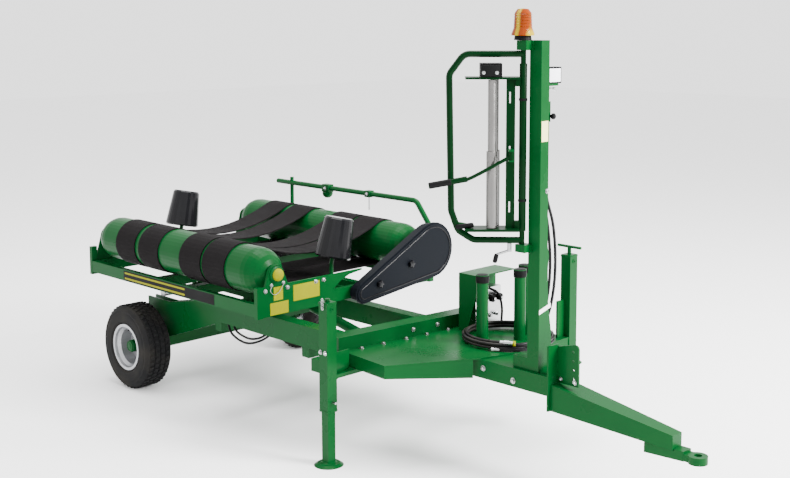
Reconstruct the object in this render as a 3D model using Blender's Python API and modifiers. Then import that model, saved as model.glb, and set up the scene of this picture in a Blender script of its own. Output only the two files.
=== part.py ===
"""Trailed round-bale wrapper with a belt turntable, built in metres.

X runs forward to the drawbar eye, Y to the machine's left, Z up.
Heights are measured from the ground and lengths from the axle, and one empty moves
the whole machine so that the origin lies under the middle of its box.
"""
import math

import bmesh
import bpy
from mathutils import Matrix, Vector

# ---------------------------------------------------------------- driving dimensions
AXLE_TO_ORIGIN = 1.696      # the axle's distance behind the origin
FIT = 0.0003                # gap between pieces that touch
RUN = 0.0005                # running gap between a pin and its bore

TYRE_DIAMETER = 0.575
TYRE_WIDTH = 0.205
RIM_DIAMETER = 0.316
TRACK = 1.430               # between the tyres' middle planes
HUB_RADIUS = 0.042
STUB_RADIUS = 0.020

AXLE_TUBE = 0.090
AXLE_HALF = 0.640           # half the axle tube's length, inside the wheels

BEAM_WIDTH = 0.090
BEAM_HEIGHT = 0.130
BEAM_TOP = 0.680
RIGHT_BEAM_Y = -0.515
LEFT_BEAM_Y = 0.300
LEFT_BEAM_TOP = 0.610
BEAM_REAR = 0.700
CHEEK = 0.012
BASE_Z = 0.430              # plate over the axle that carries the tipping lugs

CROSS_MIDDLE = 2.015        # front face of the cross member on the centre line
CROSS_SKEW = 0.104          # how much further forward that face is per metre to the left
CROSS_DEPTH = 0.110
CROSS_HEIGHT = 0.115
CROSS_RIGHT = -0.600
CROSS_LEFT = 0.640
DECK_TOP = 0.600
DECK_SKIRT = 0.075
SHEET = 0.008

NECK_BOTTOM = 0.485
NECK_RIGHT = -0.120
NECK_LEFT = 0.100
NECK_REAR = 2.420
NECK_FRONT = 3.095

DRAWBAR_END = 3.840
EYE_X = 3.962
EYE_Z = 0.330
EYE_RADIUS = 0.050
EYE_BORE = 0.021

JACK_X = 2.050
JACK_Y = -0.767
JACK_LEFT_X = 2.668
JACK_LEFT_Y = 0.620
JACK_TUBE = 0.070
JACK_LEG = 0.054
JACK_SLEEVE = 0.630
JACK_BOTTOM = 0.310
JACK_LEFT_BOTTOM = 0.470
JACK_FOOT_RADIUS = 0.085

TILT_Z = 0.615              # height of the table's tipping pin above the ground
TILT_PIN = 0.016
TABLE_X = 0.440             # the turntable's middle, ahead of the axle
TABLE_REAR = -0.530
TABLE_FRONT = 1.400
TABLE_HALF_WIDTH = 0.755
TABLE_BOTTOM = 0.722
RAIL_HEIGHT = 0.082
END_PLATE_TOP = 0.905
ROLLER_Y = 0.610
ROLLER_Z = 0.972
ROLLER_RADIUS = 0.145
ROLLER_REAR = -0.330
ROLLER_FRONT = 1.225
ROLLER_DOME = 0.140
BELT_THICK = 0.007
BELT_GAP = 0.0016
BELT_WIDTH = 0.228
BELT_SAG = 0.130

MAST_X = 2.980
MAST_Y = -0.065
MAST_DEPTH = 0.080
MAST_WIDTH = 0.068
MAST_TOP = 2.395

POST_RADIUS = 0.035
POST_HEIGHT = 0.420

ARM_X = 2.965               # hinge line of the film dispenser's arm
ARM_Y = -0.085
ARM_TUBE = 0.018
ARM_TOP = 2.322
ARM_BOTTOM = 1.318
ARM_REACH = 0.450
FILM_ROLLER_BOTTOM = 1.405
FILM_ROLLER_TOP = 2.180

OUTWARD = Vector((-0.713, -0.701, 0.0)).normalized()    # the dispenser arm's direction
ACROSS = Vector((-OUTWARD.y, OUTWARD.x, 0.0))

UP = Vector((0.0, 0.0, 1.0))


# ---------------------------------------------------------------- scene helpers
def clear_scene():
    for item in list(bpy.data.objects):
        bpy.data.objects.remove(item, do_unlink=True)


def new_collection(name):
    made = bpy.data.collections.new(name)
    bpy.context.scene.collection.children.link(made)
    return made


def new_material(name, colour, roughness, metallic):
    made = bpy.data.materials.new(name)
    made.use_nodes = True
    shader = made.node_tree.nodes["Principled BSDF"]
    shader.inputs["Base Color"].default_value = (*colour, 1.0)
    shader.inputs["Roughness"].default_value = roughness
    shader.inputs["Metallic"].default_value = metallic
    return made


clear_scene()
PARTS = new_collection("bale_wrapper")
CUTTERS = new_collection("cutters")
MATERIALS = {
    "green": new_material("green_paint", (0.01, 0.22, 0.06), 0.35, 0.1),
    "black": new_material("black_plastic", (0.015, 0.015, 0.02), 0.4, 0.0),
    "rubber": new_material("rubber", (0.02, 0.018, 0.018), 0.85, 0.0),
    "belt": new_material("belt", (0.03, 0.026, 0.028), 0.8, 0.0),
    "cover": new_material("chain_cover", (0.05, 0.06, 0.09), 0.45, 0.0),
    "silver": new_material("silver", (0.6, 0.6, 0.62), 0.25, 0.9),
    "amber": new_material("amber", (0.9, 0.25, 0.02), 0.2, 0.0),
    "glass": new_material("lamp_glass", (0.85, 0.88, 0.9), 0.08, 0.0),
}


def link(mesh, name):
    made = bpy.data.objects.new(name, mesh)
    PARTS.objects.link(made)
    return made


def mesh_object(build, name="piece"):
    """Make an object from a bmesh that the given function fills."""
    work = bmesh.new()
    build(work)
    mesh = bpy.data.meshes.new(name)
    bmesh.ops.recalc_face_normals(work, faces=work.faces)
    work.to_mesh(mesh)
    work.free()
    return link(mesh, name)


def baked(item):
    """Give an object's evaluated shape as a plain mesh in the world, welded shut."""
    bpy.context.view_layer.update()
    graph = bpy.context.evaluated_depsgraph_get()
    mesh = bpy.data.meshes.new_from_object(item.evaluated_get(graph))
    mesh.transform(item.matrix_world)
    work = bmesh.new()
    work.from_mesh(mesh)
    bmesh.ops.remove_doubles(work, verts=work.verts, dist=0.00001)
    bmesh.ops.recalc_face_normals(work, faces=work.faces)
    work.to_mesh(mesh)
    work.free()
    name = item.name
    bpy.data.objects.remove(item, do_unlink=True)
    return link(mesh, name)


def box(low, high):
    """A box between two opposite corners."""
    low, high = Vector(low), Vector(high)

    def build(work):
        size = high - low
        place = Matrix.Translation((low + high) / 2.0) @ Matrix.Diagonal((*size, 1.0))
        bmesh.ops.create_cube(work, size=1.0, matrix=place)
    return mesh_object(build, "box")


def block(centre, size, along=Vector((1.0, 0.0, 0.0)), up=UP):
    """A box whose length, width and height follow a turned frame."""
    along = Vector(along).normalized()
    side = Vector(up).cross(along).normalized()
    top = along.cross(side)
    turn = Matrix((along, side, top)).transposed().to_4x4()

    def build(work):
        place = Matrix.Translation(Vector(centre)) @ turn @ Matrix.Diagonal((*size, 1.0))
        bmesh.ops.create_cube(work, size=1.0, matrix=place)
    return mesh_object(build, "block")


def rod(start, end, radius, end_radius=None, sides=20):
    """A straight round bar or cone frustum between two points."""
    start, end = Vector(start), Vector(end)
    axis = end - start
    turn = axis.to_track_quat("Z", "Y").to_matrix().to_4x4()

    def build(work):
        place = Matrix.Translation((start + end) / 2.0) @ turn
        bmesh.ops.create_cone(
            work, cap_ends=True, segments=sides, radius1=radius,
            radius2=radius if end_radius is None else end_radius,
            depth=axis.length, matrix=place,
        )
    return mesh_object(build, "rod")


def turned(profile, base, axis, sides=40):
    """A closed profile of (radius, height) pairs, turned about an axis."""
    curve = bpy.data.meshes.new("profile")
    points = [(radius, 0.0, height) for radius, height in profile]
    count = len(points)
    on_axis = profile[0][0] == 0.0 and profile[-1][0] == 0.0
    edges = [(i, i + 1) for i in range(count - 1)]
    if not on_axis:
        edges.append((count - 1, 0))
    curve.from_pydata(points, edges, [])
    item = link(curve, "turned")
    item.location = Vector(base)
    item.rotation_mode = "QUATERNION"
    item.rotation_quaternion = Vector(axis).to_track_quat("Z", "Y")
    screw = item.modifiers.new("turn", "SCREW")
    screw.axis = "Z"
    screw.angle = math.tau
    screw.steps = sides
    screw.render_steps = sides
    screw.use_merge_vertices = True
    screw.merge_threshold = 0.00001
    return baked(item)


def tube(points, radius, smooth=False, sides=2, closed=False):
    """A round tube through points, with filled ends."""
    curve = bpy.data.curves.new("tube", "CURVE")
    curve.dimensions = "3D"
    curve.bevel_depth = radius
    curve.bevel_resolution = sides
    curve.use_fill_caps = True
    spline = curve.splines.new("POLY")
    route = smooth_route(points) if smooth else [Vector(p) for p in points]
    spline.points.add(len(route) - 1)
    for point, place in zip(spline.points, route):
        point.co = (*place, 1.0)
    spline.use_cyclic_u = closed
    item = bpy.data.objects.new("tube", curve)
    PARTS.objects.link(item)
    return baked(item)


def smooth_route(points, steps=6):
    """A Catmull-Rom curve through the points."""
    points = [Vector(p) for p in points]
    ends = [points[0] * 2 - points[1]] + points + [points[-1] * 2 - points[-2]]
    route = []
    for i in range(1, len(ends) - 2):
        a, b, c, d = ends[i - 1:i + 3]
        for k in range(steps):
            t = k / steps
            route.append(0.5 * (
                2 * b + (c - a) * t + (2 * a - 5 * b + 4 * c - d) * t ** 2
                + (3 * b - a - 3 * c + d) * t ** 3
            ))
    route.append(points[-1])
    return route


def bent(points, bend, steps=5):
    """Corner points with each inner corner rounded to a bend radius."""
    points = [Vector(p) for p in points]
    route = [points[0]]
    for before, corner, after in zip(points, points[1:], points[2:]):
        into = (corner - before).normalized()
        out = (after - corner).normalized()
        angle = into.angle(out)
        reach = bend * math.tan(angle / 2.0)
        start = corner - into * reach
        centre_way = (out - into).normalized()
        centre = corner + centre_way * (bend / math.cos(angle / 2.0))
        normal = into.cross(out).normalized()
        arm = start - centre
        for k in range(steps + 1):
            turn = Matrix.Rotation(angle * k / steps, 4, normal)
            route.append(centre + turn @ arm)
    route.append(points[-1])
    return route


def plate(outline, origin, along, up, thick):
    """A flat plate from a 2-D outline, thickened to both sides of its plane."""
    along = Vector(along).normalized()
    up = Vector(up).normalized()
    normal = along.cross(up)
    curve = bpy.data.curves.new("plate", "CURVE")
    curve.dimensions = "2D"
    curve.fill_mode = "BOTH"
    curve.extrude = thick / 2.0
    spline = curve.splines.new("POLY")
    spline.points.add(len(outline) - 1)
    for point, (a, b) in zip(spline.points, outline):
        point.co = (a, b, 0.0, 1.0)
    spline.use_cyclic_u = True
    item = bpy.data.objects.new("plate", curve)
    turn = Matrix((along, up, normal)).transposed().to_4x4()
    item.matrix_world = Matrix.Translation(Vector(origin)) @ turn
    PARTS.objects.link(item)
    return baked(item)


def arc(centre, radius, start, end, steps=8):
    """Points on an arc of a flat outline, with angles in degrees."""
    points = []
    for k in range(steps + 1):
        angle = math.radians(start + (end - start) * k / steps)
        points.append((centre[0] + radius * math.cos(angle), centre[1] + radius * math.sin(angle)))
    return points


def combine(items, operation):
    base = items[0]
    for other in items[1:]:
        step = base.modifiers.new("combine", "BOOLEAN")
        step.operation = operation
        step.solver = "EXACT"
        step.object = other
    made = baked(base)
    for other in items[1:]:
        bpy.data.objects.remove(other, do_unlink=True)
    return made


def union(*items):
    return combine(list(items), "UNION") if len(items) > 1 else items[0]


def cut(item, *tools):
    for tool in tools:
        tool.display_type = "WIRE"
        tool.hide_render = True
    return combine([item, *tools], "DIFFERENCE")


def mirrored(item):
    """The same piece on the machine's other side."""
    mesh = item.data.copy()
    mesh.transform(Matrix.Diagonal((1.0, -1.0, 1.0, 1.0)))
    mesh.flip_normals()
    return link(mesh, item.name)


def node(item, name, material, body, smooth=30.0):
    """Name a finished piece and hang it on its body's empty."""
    item.name = name
    item.data.name = name
    item.data.materials.clear()
    item.data.materials.append(MATERIALS[material])
    item.data.shade_smooth()
    item.data.set_sharp_from_angle(angle=math.radians(smooth))
    origin = body.matrix_world.translation
    item.data.transform(Matrix.Translation(-(origin - MACHINE.location)))
    item.parent = body
    return item


def body(name, at, parent=None):
    """An empty on a joint's axis, placed in axle coordinates."""
    made = bpy.data.objects.new(name, None)
    PARTS.objects.link(made)
    made.parent = parent
    base = Vector((0.0, 0.0, 0.0)) if parent is None else parent["at"]
    made.location = Vector(at) - Vector(base)
    made["at"] = Vector(at)
    bpy.context.view_layer.update()
    return made


MACHINE = bpy.data.objects.new("machine", None)
PARTS.objects.link(MACHINE)
MACHINE.location = (-AXLE_TO_ORIGIN, 0.0, 0.0)
MACHINE["at"] = Vector((0.0, 0.0, 0.0))
bpy.context.view_layer.update()


# ---------------------------------------------------------------- wheels
def make_wheels():
    middle = TRACK / 2.0
    half = TYRE_WIDTH / 2.0
    outer = TYRE_DIAMETER / 2.0
    bead = RIM_DIAMETER / 2.0 - 0.012
    seat = half - 0.018
    tread = half - 0.022
    tyre_profile = [
        (outer - 0.004, tread), (outer, tread * 0.5), (outer, -tread * 0.5), (outer - 0.004, -tread),
        (outer - 0.022, -half + 0.006), (outer - 0.060, -half), (bead + 0.040, -half + 0.006),
        (bead + 0.0125, -seat), (bead, -seat), (bead, seat), (bead + 0.0125, seat),
        (bead + 0.040, half - 0.006), (outer - 0.060, half), (outer - 0.022, half - 0.006),
    ]
    barrel = bead - FIT
    flange = seat + FIT
    disc = -0.030
    rim_profile = [
        (RIM_DIAMETER / 2.0, flange + 0.008), (RIM_DIAMETER / 2.0, flange), (barrel, flange),
        (barrel, -flange), (RIM_DIAMETER / 2.0, -flange), (RIM_DIAMETER / 2.0, -flange - 0.008),
        (barrel - 0.008, -flange - 0.008), (barrel - 0.014, -flange + 0.020),
        (barrel - 0.024, disc - 0.004), (HUB_RADIUS + RUN, disc - 0.004),
        (HUB_RADIUS + RUN, disc + 0.004), (barrel - 0.030, disc + 0.010),
        (barrel - 0.024, flange - 0.030), (barrel - 0.010, flange - 0.010),
        (barrel - 0.006, flange + 0.008),
    ]
    inner = AXLE_HALF + 0.006 - middle
    collar = disc - 0.004 - FIT
    hub_profile = [
        (0.0, 0.062), (HUB_RADIUS - 0.010, 0.062), (HUB_RADIUS, 0.052), (HUB_RADIUS, collar),
        (HUB_RADIUS + 0.022, collar), (HUB_RADIUS + 0.022, collar - 0.010),
        (HUB_RADIUS, collar - 0.010), (HUB_RADIUS, inner), (STUB_RADIUS + RUN, inner),
        (STUB_RADIUS + RUN, 0.020), (0.0, 0.020),
    ]
    for side, sign in (("right", -1.0), ("left", 1.0)):
        centre = (0.0, sign * middle, outer)
        axis = (0.0, sign, 0.0)
        wheel = body("wheel_" + side, centre, MACHINE)
        node(turned(tyre_profile, centre, axis, 36), "tyre_" + side, "rubber", wheel)
        node(turned(rim_profile, centre, axis, 36), "rim_" + side, "silver", wheel)
        node(turned(hub_profile, centre, axis, 20), "hub_" + side, "green", wheel)


# ---------------------------------------------------------------- chassis
def cross_face(y):
    """Where the cross member's front face lies at a distance to the left."""
    return CROSS_MIDDLE + CROSS_SKEW * y


def make_axle():
    centre_z = TYRE_DIAMETER / 2.0
    half = AXLE_TUBE / 2.0
    stub = TRACK / 2.0 + 0.018
    pieces = [
        box((-half, -AXLE_HALF, centre_z - half), (half, AXLE_HALF, centre_z + half)),
        rod((0, -stub, centre_z), (0, stub, centre_z), STUB_RADIUS),
    ]
    for sign in (-1.0, 1.0):
        near, far = sorted((sign * (AXLE_HALF - 0.075), sign * (AXLE_HALF - 0.063)))
        pieces.append(box((-0.070, near, centre_z - 0.075), (0.105, far, centre_z + 0.060)))
    node(union(*pieces), "axle", "green", MACHINE)


def make_chassis():
    axle_top = TYRE_DIAMETER / 2.0 + AXLE_TUBE / 2.0
    half = BEAM_WIDTH / 2.0

    def beam(y, top):
        front = cross_face(y) - CROSS_DEPTH / 2.0
        return box((BEAM_REAR - 0.03, y - half, top - BEAM_HEIGHT), (front, y + half, top))

    def cheek(y, top):
        under = top - BEAM_HEIGHT
        outline = [
            (-0.110, axle_top + FIT), (0.120, axle_top + FIT), (BEAM_REAR + 0.060, under + 0.004),
            (BEAM_REAR + 0.060, top - 0.004), (BEAM_REAR - 0.080, top - 0.004),
            (0.160, TILT_Z - 0.030), (-0.110, TILT_Z - 0.030),
        ]
        return plate(outline, (0.0, y, 0.0), (1, 0, 0), (0, 0, 1), CHEEK)

    low, high = RIGHT_BEAM_Y - half + 0.010, LEFT_BEAM_Y + half - 0.010
    cross_middle = (CROSS_RIGHT + CROSS_LEFT) / 2.0
    cross_centre = (
        cross_face(cross_middle) - CROSS_DEPTH / 2.0, cross_middle, BEAM_TOP - CROSS_HEIGHT / 2.0,
    )
    pieces = [
        beam(RIGHT_BEAM_Y, BEAM_TOP), beam(LEFT_BEAM_Y, LEFT_BEAM_TOP),
        box((-0.100, low, BASE_Z - 0.012), (0.115, high, BASE_Z)),
        box((BEAM_REAR - 0.02, low, 0.485), (BEAM_REAR + 0.045, high, 0.555)),
        box((1.560, low, 0.485), (1.625, high, 0.555)),
        block(cross_centre, (CROSS_LEFT - CROSS_RIGHT, CROSS_DEPTH, CROSS_HEIGHT),
              along=(CROSS_SKEW, 1.0, 0.0)),
        box((1.862, JACK_Y + JACK_TUBE / 2.0 + FIT, 0.498), (1.945, RIGHT_BEAM_Y, 0.572)),
        box((1.900, JACK_Y + JACK_TUBE / 2.0 + FIT, 0.499), (2.085, RIGHT_BEAM_Y - 0.02, 0.5215)),
    ]
    for y, top in ((RIGHT_BEAM_Y, BEAM_TOP), (LEFT_BEAM_Y, LEFT_BEAM_TOP)):
        for side in (-1.0, 1.0):
            pieces.append(cheek(y + side * (half - 0.015), top))
    for side in (-1.0, 1.0):
        y = side * (TILT_LUG_Y)
        outline = [(-0.050, BASE_Z - 0.006), (0.050, BASE_Z - 0.006), (0.034, TILT_Z)]
        outline += arc((0.0, TILT_Z), 0.034, 0, 180)[1:]
        pieces.append(plate(outline, (0.0, y, 0.0), (1, 0, 0), (0, 0, 1), TILT_LUG))
        near = side * (CYLINDER_EYE / 2.0 + 0.009)
        outline = [(1.640, 0.487), (1.640, 0.553), (CYLINDER_BASE[0], CYLINDER_BASE[1] + 0.028)]
        outline += arc(CYLINDER_BASE, 0.028, 90, 270)[1:]
        pieces.append(plate(outline, (0.0, near, 0.0), (1, 0, 0), (0, 0, 1), 0.012))
    frame = union(*pieces)
    frame = cut(frame, rod((0, -0.300, TILT_Z), (0, 0.300, TILT_Z), TILT_PIN + RUN),
                rod((CYLINDER_BASE[0], -0.08, CYLINDER_BASE[1]),
                    (CYLINDER_BASE[0], 0.08, CYLINDER_BASE[1]), CYLINDER_PIN + RUN))
    node(frame, "chassis_frame", "green", MACHINE)

    pin_end = TILT_LUG_Y + TILT_LUG / 2.0 + 0.004
    pin = union(
        rod((0, -pin_end - 0.01, TILT_Z), (0, pin_end + 0.01, TILT_Z), TILT_PIN),
        rod((0, RIGHT_BEAM_Y + 0.010, TILT_Z), (0, -pin_end, TILT_Z), 0.026),
        rod((0, pin_end, TILT_Z), (0, pin_end + 0.012, TILT_Z), 0.026),
    )
    node(pin, "tipping_pin", "silver", MACHINE)


TILT_LUG = 0.016
TILT_LUG_Y = 0.236
TILT_ARM_Y = 0.180
TILT_ARM = 0.060
TILT_ARM_BOTTOM = 0.622
TILT_ARM_TOP = 0.690
RING_RADIUS = 0.230
CYLINDER_BASE = (1.500, 0.500)
CYLINDER_ROD_EYE = (0.800, 0.640)
CYLINDER_EYE = 0.040
CYLINDER_PIN = 0.010
CYLINDER_RADIUS = 0.032
CYLINDER_LENGTH = 0.500
CYLINDER_ROD = 0.016


def make_deck():
    edge = SHEET / 2.0
    right_rear = (cross_face(CROSS_RIGHT + 0.025) + FIT, CROSS_RIGHT + 0.025)
    right_front = (2.343, -0.611)
    nose = (2.620, NECK_RIGHT - FIT)
    skirt_end = (2.598, NECK_RIGHT - 0.040)
    left = JACK_LEFT_Y - JACK_TUBE / 2.0 - FIT
    left_rear = (cross_face(left) + FIT, left)
    outline = [right_rear, right_front, nose, (2.700, NECK_LEFT + 0.02), (2.700, left), left_rear]
    top = plate(outline, (0, 0, DECK_TOP - edge), (1, 0, 0), (0, 1, 0), SHEET)

    def skirt(start, end, deep_start, deep_end):
        start, end = Vector((*start, 0)), Vector((*end, 0))
        along = end - start
        inward = UP.cross(along).normalized() * edge
        shape = [(0, 0), (along.length, 0), (along.length, -deep_end), (0, -deep_start)]
        origin = start + inward * 1.5 + UP * (DECK_TOP - 0.002)
        return plate(shape, origin, along, UP, SHEET)

    rear = Vector((*right_rear, 0)) + (Vector((*right_front, 0)) - Vector((*right_rear, 0))) * 0.02
    pieces = [
        top, skirt(rear.xy, right_front, DECK_SKIRT, DECK_SKIRT),
        skirt(right_front, skirt_end, DECK_SKIRT, DECK_TOP - NECK_BOTTOM - 0.004),
        skirt((2.700, NECK_LEFT + 0.02), (2.700, left), DECK_SKIRT, DECK_SKIRT),
        box((2.652, 0.518, DECK_TOP - 0.004), (2.664, left - 0.001, DECK_TOP + 0.225)),
    ]
    node(union(*pieces), "deck", "green", MACHINE)


def make_neck():
    under = DECK_TOP - SHEET - FIT
    rear = cross_face(NECK_LEFT) + FIT
    wall = 0.012
    outside = box((rear, NECK_RIGHT, NECK_BOTTOM), (NECK_FRONT, NECK_LEFT, under))
    inside = box((rear + 0.040, NECK_RIGHT + wall, NECK_BOTTOM - 0.05),
                 (NECK_FRONT - 0.014, NECK_LEFT - wall, under - wall))
    node(cut(outside, inside), "drawbar_neck", "green", MACHINE)

    web = NECK_FRONT + FIT
    hole = 0.007
    flange_y = -0.036
    outline = [(0, 0.548), (0.150, 0.548), (0.150, 0.745), *arc((0.125, 0.750), 0.025, 0, 90), (0, 0.745)]
    bracket = union(
        box((web, NECK_RIGHT, 0.400), (web + 0.012, -0.030, 0.760)),
        plate(outline, (web + 0.002, flange_y, 0), (1, 0, 0), (0, 0, 1), 0.012),
    )
    tools = [
        rod((web + 0.118, flange_y - 0.05, 0.585 + 0.05 * k),
            (web + 0.118, flange_y + 0.05, 0.585 + 0.05 * k), hole, sides=12)
        for k in range(4)
    ]
    node(cut(bracket, *tools), "hitch_bracket", "green", MACHINE)


def make_drawbar():
    rear = NECK_FRONT + 2 * FIT + 0.012
    start_low, start_high = 0.400, 0.545
    end_low, end_high = 0.352, 0.430
    flange_y = -0.036

    def build(work):
        corners = []
        for x, y, low, high, away in (
            (rear, NECK_RIGHT + 0.020, start_low, start_high, 0.060),
            (DRAWBAR_END, -0.042, end_low, end_high, 0.042),
        ):
            for place in ((y, low), (away, low), (away, high), (y, high)):
                corners.append(work.verts.new((x, *place)))
        near, far = corners[:4], corners[4:]
        work.faces.new(near)
        work.faces.new(far)
        for k in range(4):
            n = (k + 1) % 4
            work.faces.new((near[k], near[n], far[n], far[k]))
    node(mesh_object(build), "drawbar", "green", MACHINE)

    tongue = union(
        plate([(DRAWBAR_END - 0.175, end_low - 0.052), (DRAWBAR_END + 0.060, end_low - 0.042),
               (DRAWBAR_END + 0.060, end_low + 0.010), (DRAWBAR_END + 0.004, end_low + 0.010),
               (DRAWBAR_END + 0.004, end_low - FIT), (DRAWBAR_END - 0.175, end_low - FIT)],
              (0, 0, 0), (1, 0, 0), (0, 0, 1), 0.070),
        rod((EYE_X, 0, EYE_Z - 0.020), (EYE_X, 0, EYE_Z + 0.020), EYE_RADIUS, sides=28),
        box((DRAWBAR_END + 0.040, -0.034, EYE_Z - 0.018), (EYE_X, 0.034, EYE_Z + 0.018)),
    )
    tongue = cut(tongue, rod((EYE_X, 0, EYE_Z - 0.1), (EYE_X, 0, EYE_Z + 0.1), EYE_BORE, sides=20))
    node(tongue, "hitch_eye", "green", MACHINE)


def make_jack(side, x, y, bottom, foot, leg_length):
    top = bottom + JACK_SLEEVE
    half, bore, leg = JACK_TUBE / 2.0, JACK_LEG / 2.0 + 0.0005, JACK_LEG / 2.0
    sleeve = cut(
        box((x - half, y - half, bottom), (x + half, y + half, top)),
        box((x - bore, y - bore, bottom - 0.02), (x + bore, y + bore, top - 0.012)),
    )
    node(sleeve, "jack_sleeve_" + side, "green", MACHINE)
    handle = union(
        rod((x, y, top + FIT), (x, y, top + 0.050), 0.012, sides=16),
        rod((x - 0.085, y, top + 0.046), (x + 0.085, y, top + 0.046), 0.009, sides=12),
    ) if side == "left" else rod((x, y, top + FIT), (x, y, top + 0.018), 0.014, sides=16)
    node(handle, "jack_handle_" + side, "green", MACHINE)
    mover = body("jack_leg_" + side, (x, y, foot), MACHINE)
    pieces = [
        box((x - leg, y - leg, foot + 0.020), (x + leg, y + leg, foot + leg_length)),
        rod((x, y, foot + 0.012), (x, y, foot + 0.024), JACK_FOOT_RADIUS * 0.6, JACK_LEG * 0.5, sides=24),
        rod((x, y, foot), (x, y, foot + 0.014), JACK_FOOT_RADIUS, JACK_FOOT_RADIUS * 0.75, sides=24),
    ]
    node(union(*pieces), "jack_foot_" + side, "green", mover)


# ---------------------------------------------------------------- mast and deck fittings
def make_mast():
    foot = DECK_TOP - SHEET
    front = MAST_X + MAST_DEPTH / 2.0
    right = MAST_Y - MAST_WIDTH / 2.0
    left = MAST_Y + MAST_WIDTH / 2.0
    rear = MAST_X - MAST_DEPTH / 2.0
    gusset = [(0.040, foot + 0.0005), (0.040, 0.800), (0.030, 0.860), (0.012, 0.960),
              (0.006, 1.060), (0.006, 1.160), (0.014, 1.230), (-0.002, 1.300), (-0.010, 1.300),
              (-0.010, foot + 0.0005)]
    pieces = [
        box((rear, right, foot), (front, left, MAST_TOP)),
        plate(gusset, (front - 0.005, left, 0), (0, 1, 0), (0, 0, 1), 0.009),
        box((rear - 0.100, right + 0.001, foot + 0.0005), (rear + 0.01, left - 0.001, foot + 0.070)),
        box((rear + 0.02, left - 0.01, 1.955), (rear + 0.05, left + 0.050, 2.065)),
        box((rear + 0.02, left - 0.011, 2.150), (front - 0.01, left + 0.090, 2.162)),
    ]
    hinge = Vector((ARM_HINGE_X, ARM_HINGE_Y, 0))
    for low, high in ((ARM_TOP + 0.020 + FIT, MAST_TOP - 0.001),
                      (ARM_BOTTOM - 0.064, ARM_BOTTOM - 0.022 - FIT)):
        pieces.append(box((hinge.x - 0.026, hinge.y - 0.026, low), (hinge.x + 0.040, right + 0.01, high)))
        pieces.append(box((rear - 0.01, right - 0.014, low), (rear + 0.03, right + 0.02, high)))
    node(union(*pieces), "mast", "green", MACHINE)

    beacon_x, beacon_y = ARM_HINGE_X - 0.004, ARM_HINGE_Y - 0.002
    base = MAST_TOP + FIT
    node(rod((beacon_x, beacon_y, base), (beacon_x, beacon_y, base + 0.024), 0.048, 0.044, sides=24),
         "beacon_base", "black", MACHINE)
    lens = base + 0.024 + FIT
    profile = [(0.0, lens + 0.145), (0.030, lens + 0.140), (0.045, lens + 0.120), (0.050, lens + 0.040),
               (0.062, lens + 0.010), (0.062, lens), (0.0, lens)]
    node(turned([(r, z - lens) for r, z in profile], (beacon_x, beacon_y, lens), UP, 28), "beacon_lens",
         "amber", MACHINE)

    lamp_low = 2.162 + FIT
    node(box((MAST_X - 0.025, left + 0.004, lamp_low), (MAST_X + 0.030, left + 0.114, lamp_low + 0.088)),
         "work_lamp", "black", MACHINE)


HINGE_RADIUS = 0.0145
ARM_HINGE_X = 2.922
ARM_HINGE_Y = -0.131


def make_deck_fittings():
    floor = DECK_TOP + FIT
    for index, (x, y, height) in enumerate(FILM_POSTS):
        post = union(
            rod((x, y, floor), (x, y, floor + height), POST_RADIUS, sides=24),
            rod((x, y, floor + height - 0.040), (x, y, floor + height + 0.006), POST_RADIUS + 0.004,
                sides=24),
        )
        node(post, "film_post_" + str(index + 1), "green", MACHINE)

    low_x, high_x, right, left = 2.110, 2.270, 0.245, 0.580
    top = 0.960
    guard = union(
        box((low_x, right, floor), (low_x + SHEET, left, top)),
        box((low_x, right, top - SHEET), (high_x, left, top)),
        plate([(low_x, floor), (high_x - 0.100, floor), (high_x, top - 0.060), (high_x, top), (low_x, top)],
              (0, right + SHEET / 2.0, 0), (1, 0, 0), (0, 0, 1), SHEET),
    )
    node(guard, "valve_guard", "green", MACHINE)
    node(box((low_x + 0.020, right + 0.060, floor), (low_x + 0.085, left - 0.040, top - 0.110)),
         "valve_block", "silver", MACHINE)

    ring = turned([(HOSE_COIL_RADIUS + 0.024, 0.030), (HOSE_COIL_RADIUS + 0.024, -0.030),
                   (HOSE_COIL_RADIUS - 0.024, -0.030), (HOSE_COIL_RADIUS - 0.024, 0.030)],
                  (HOSE_COIL_X, HOSE_COIL_Y, floor + 0.030), UP, 40)
    node(ring, "hose_coil", "rubber", MACHINE)


FILM_POSTS = ((2.428, 0.106, 0.410), (2.514, 0.345, 0.420), (2.450, 0.466, 0.420))
HOSE_COIL_X = 2.475
HOSE_COIL_Y = 0.285
HOSE_COIL_RADIUS = 0.255


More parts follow.
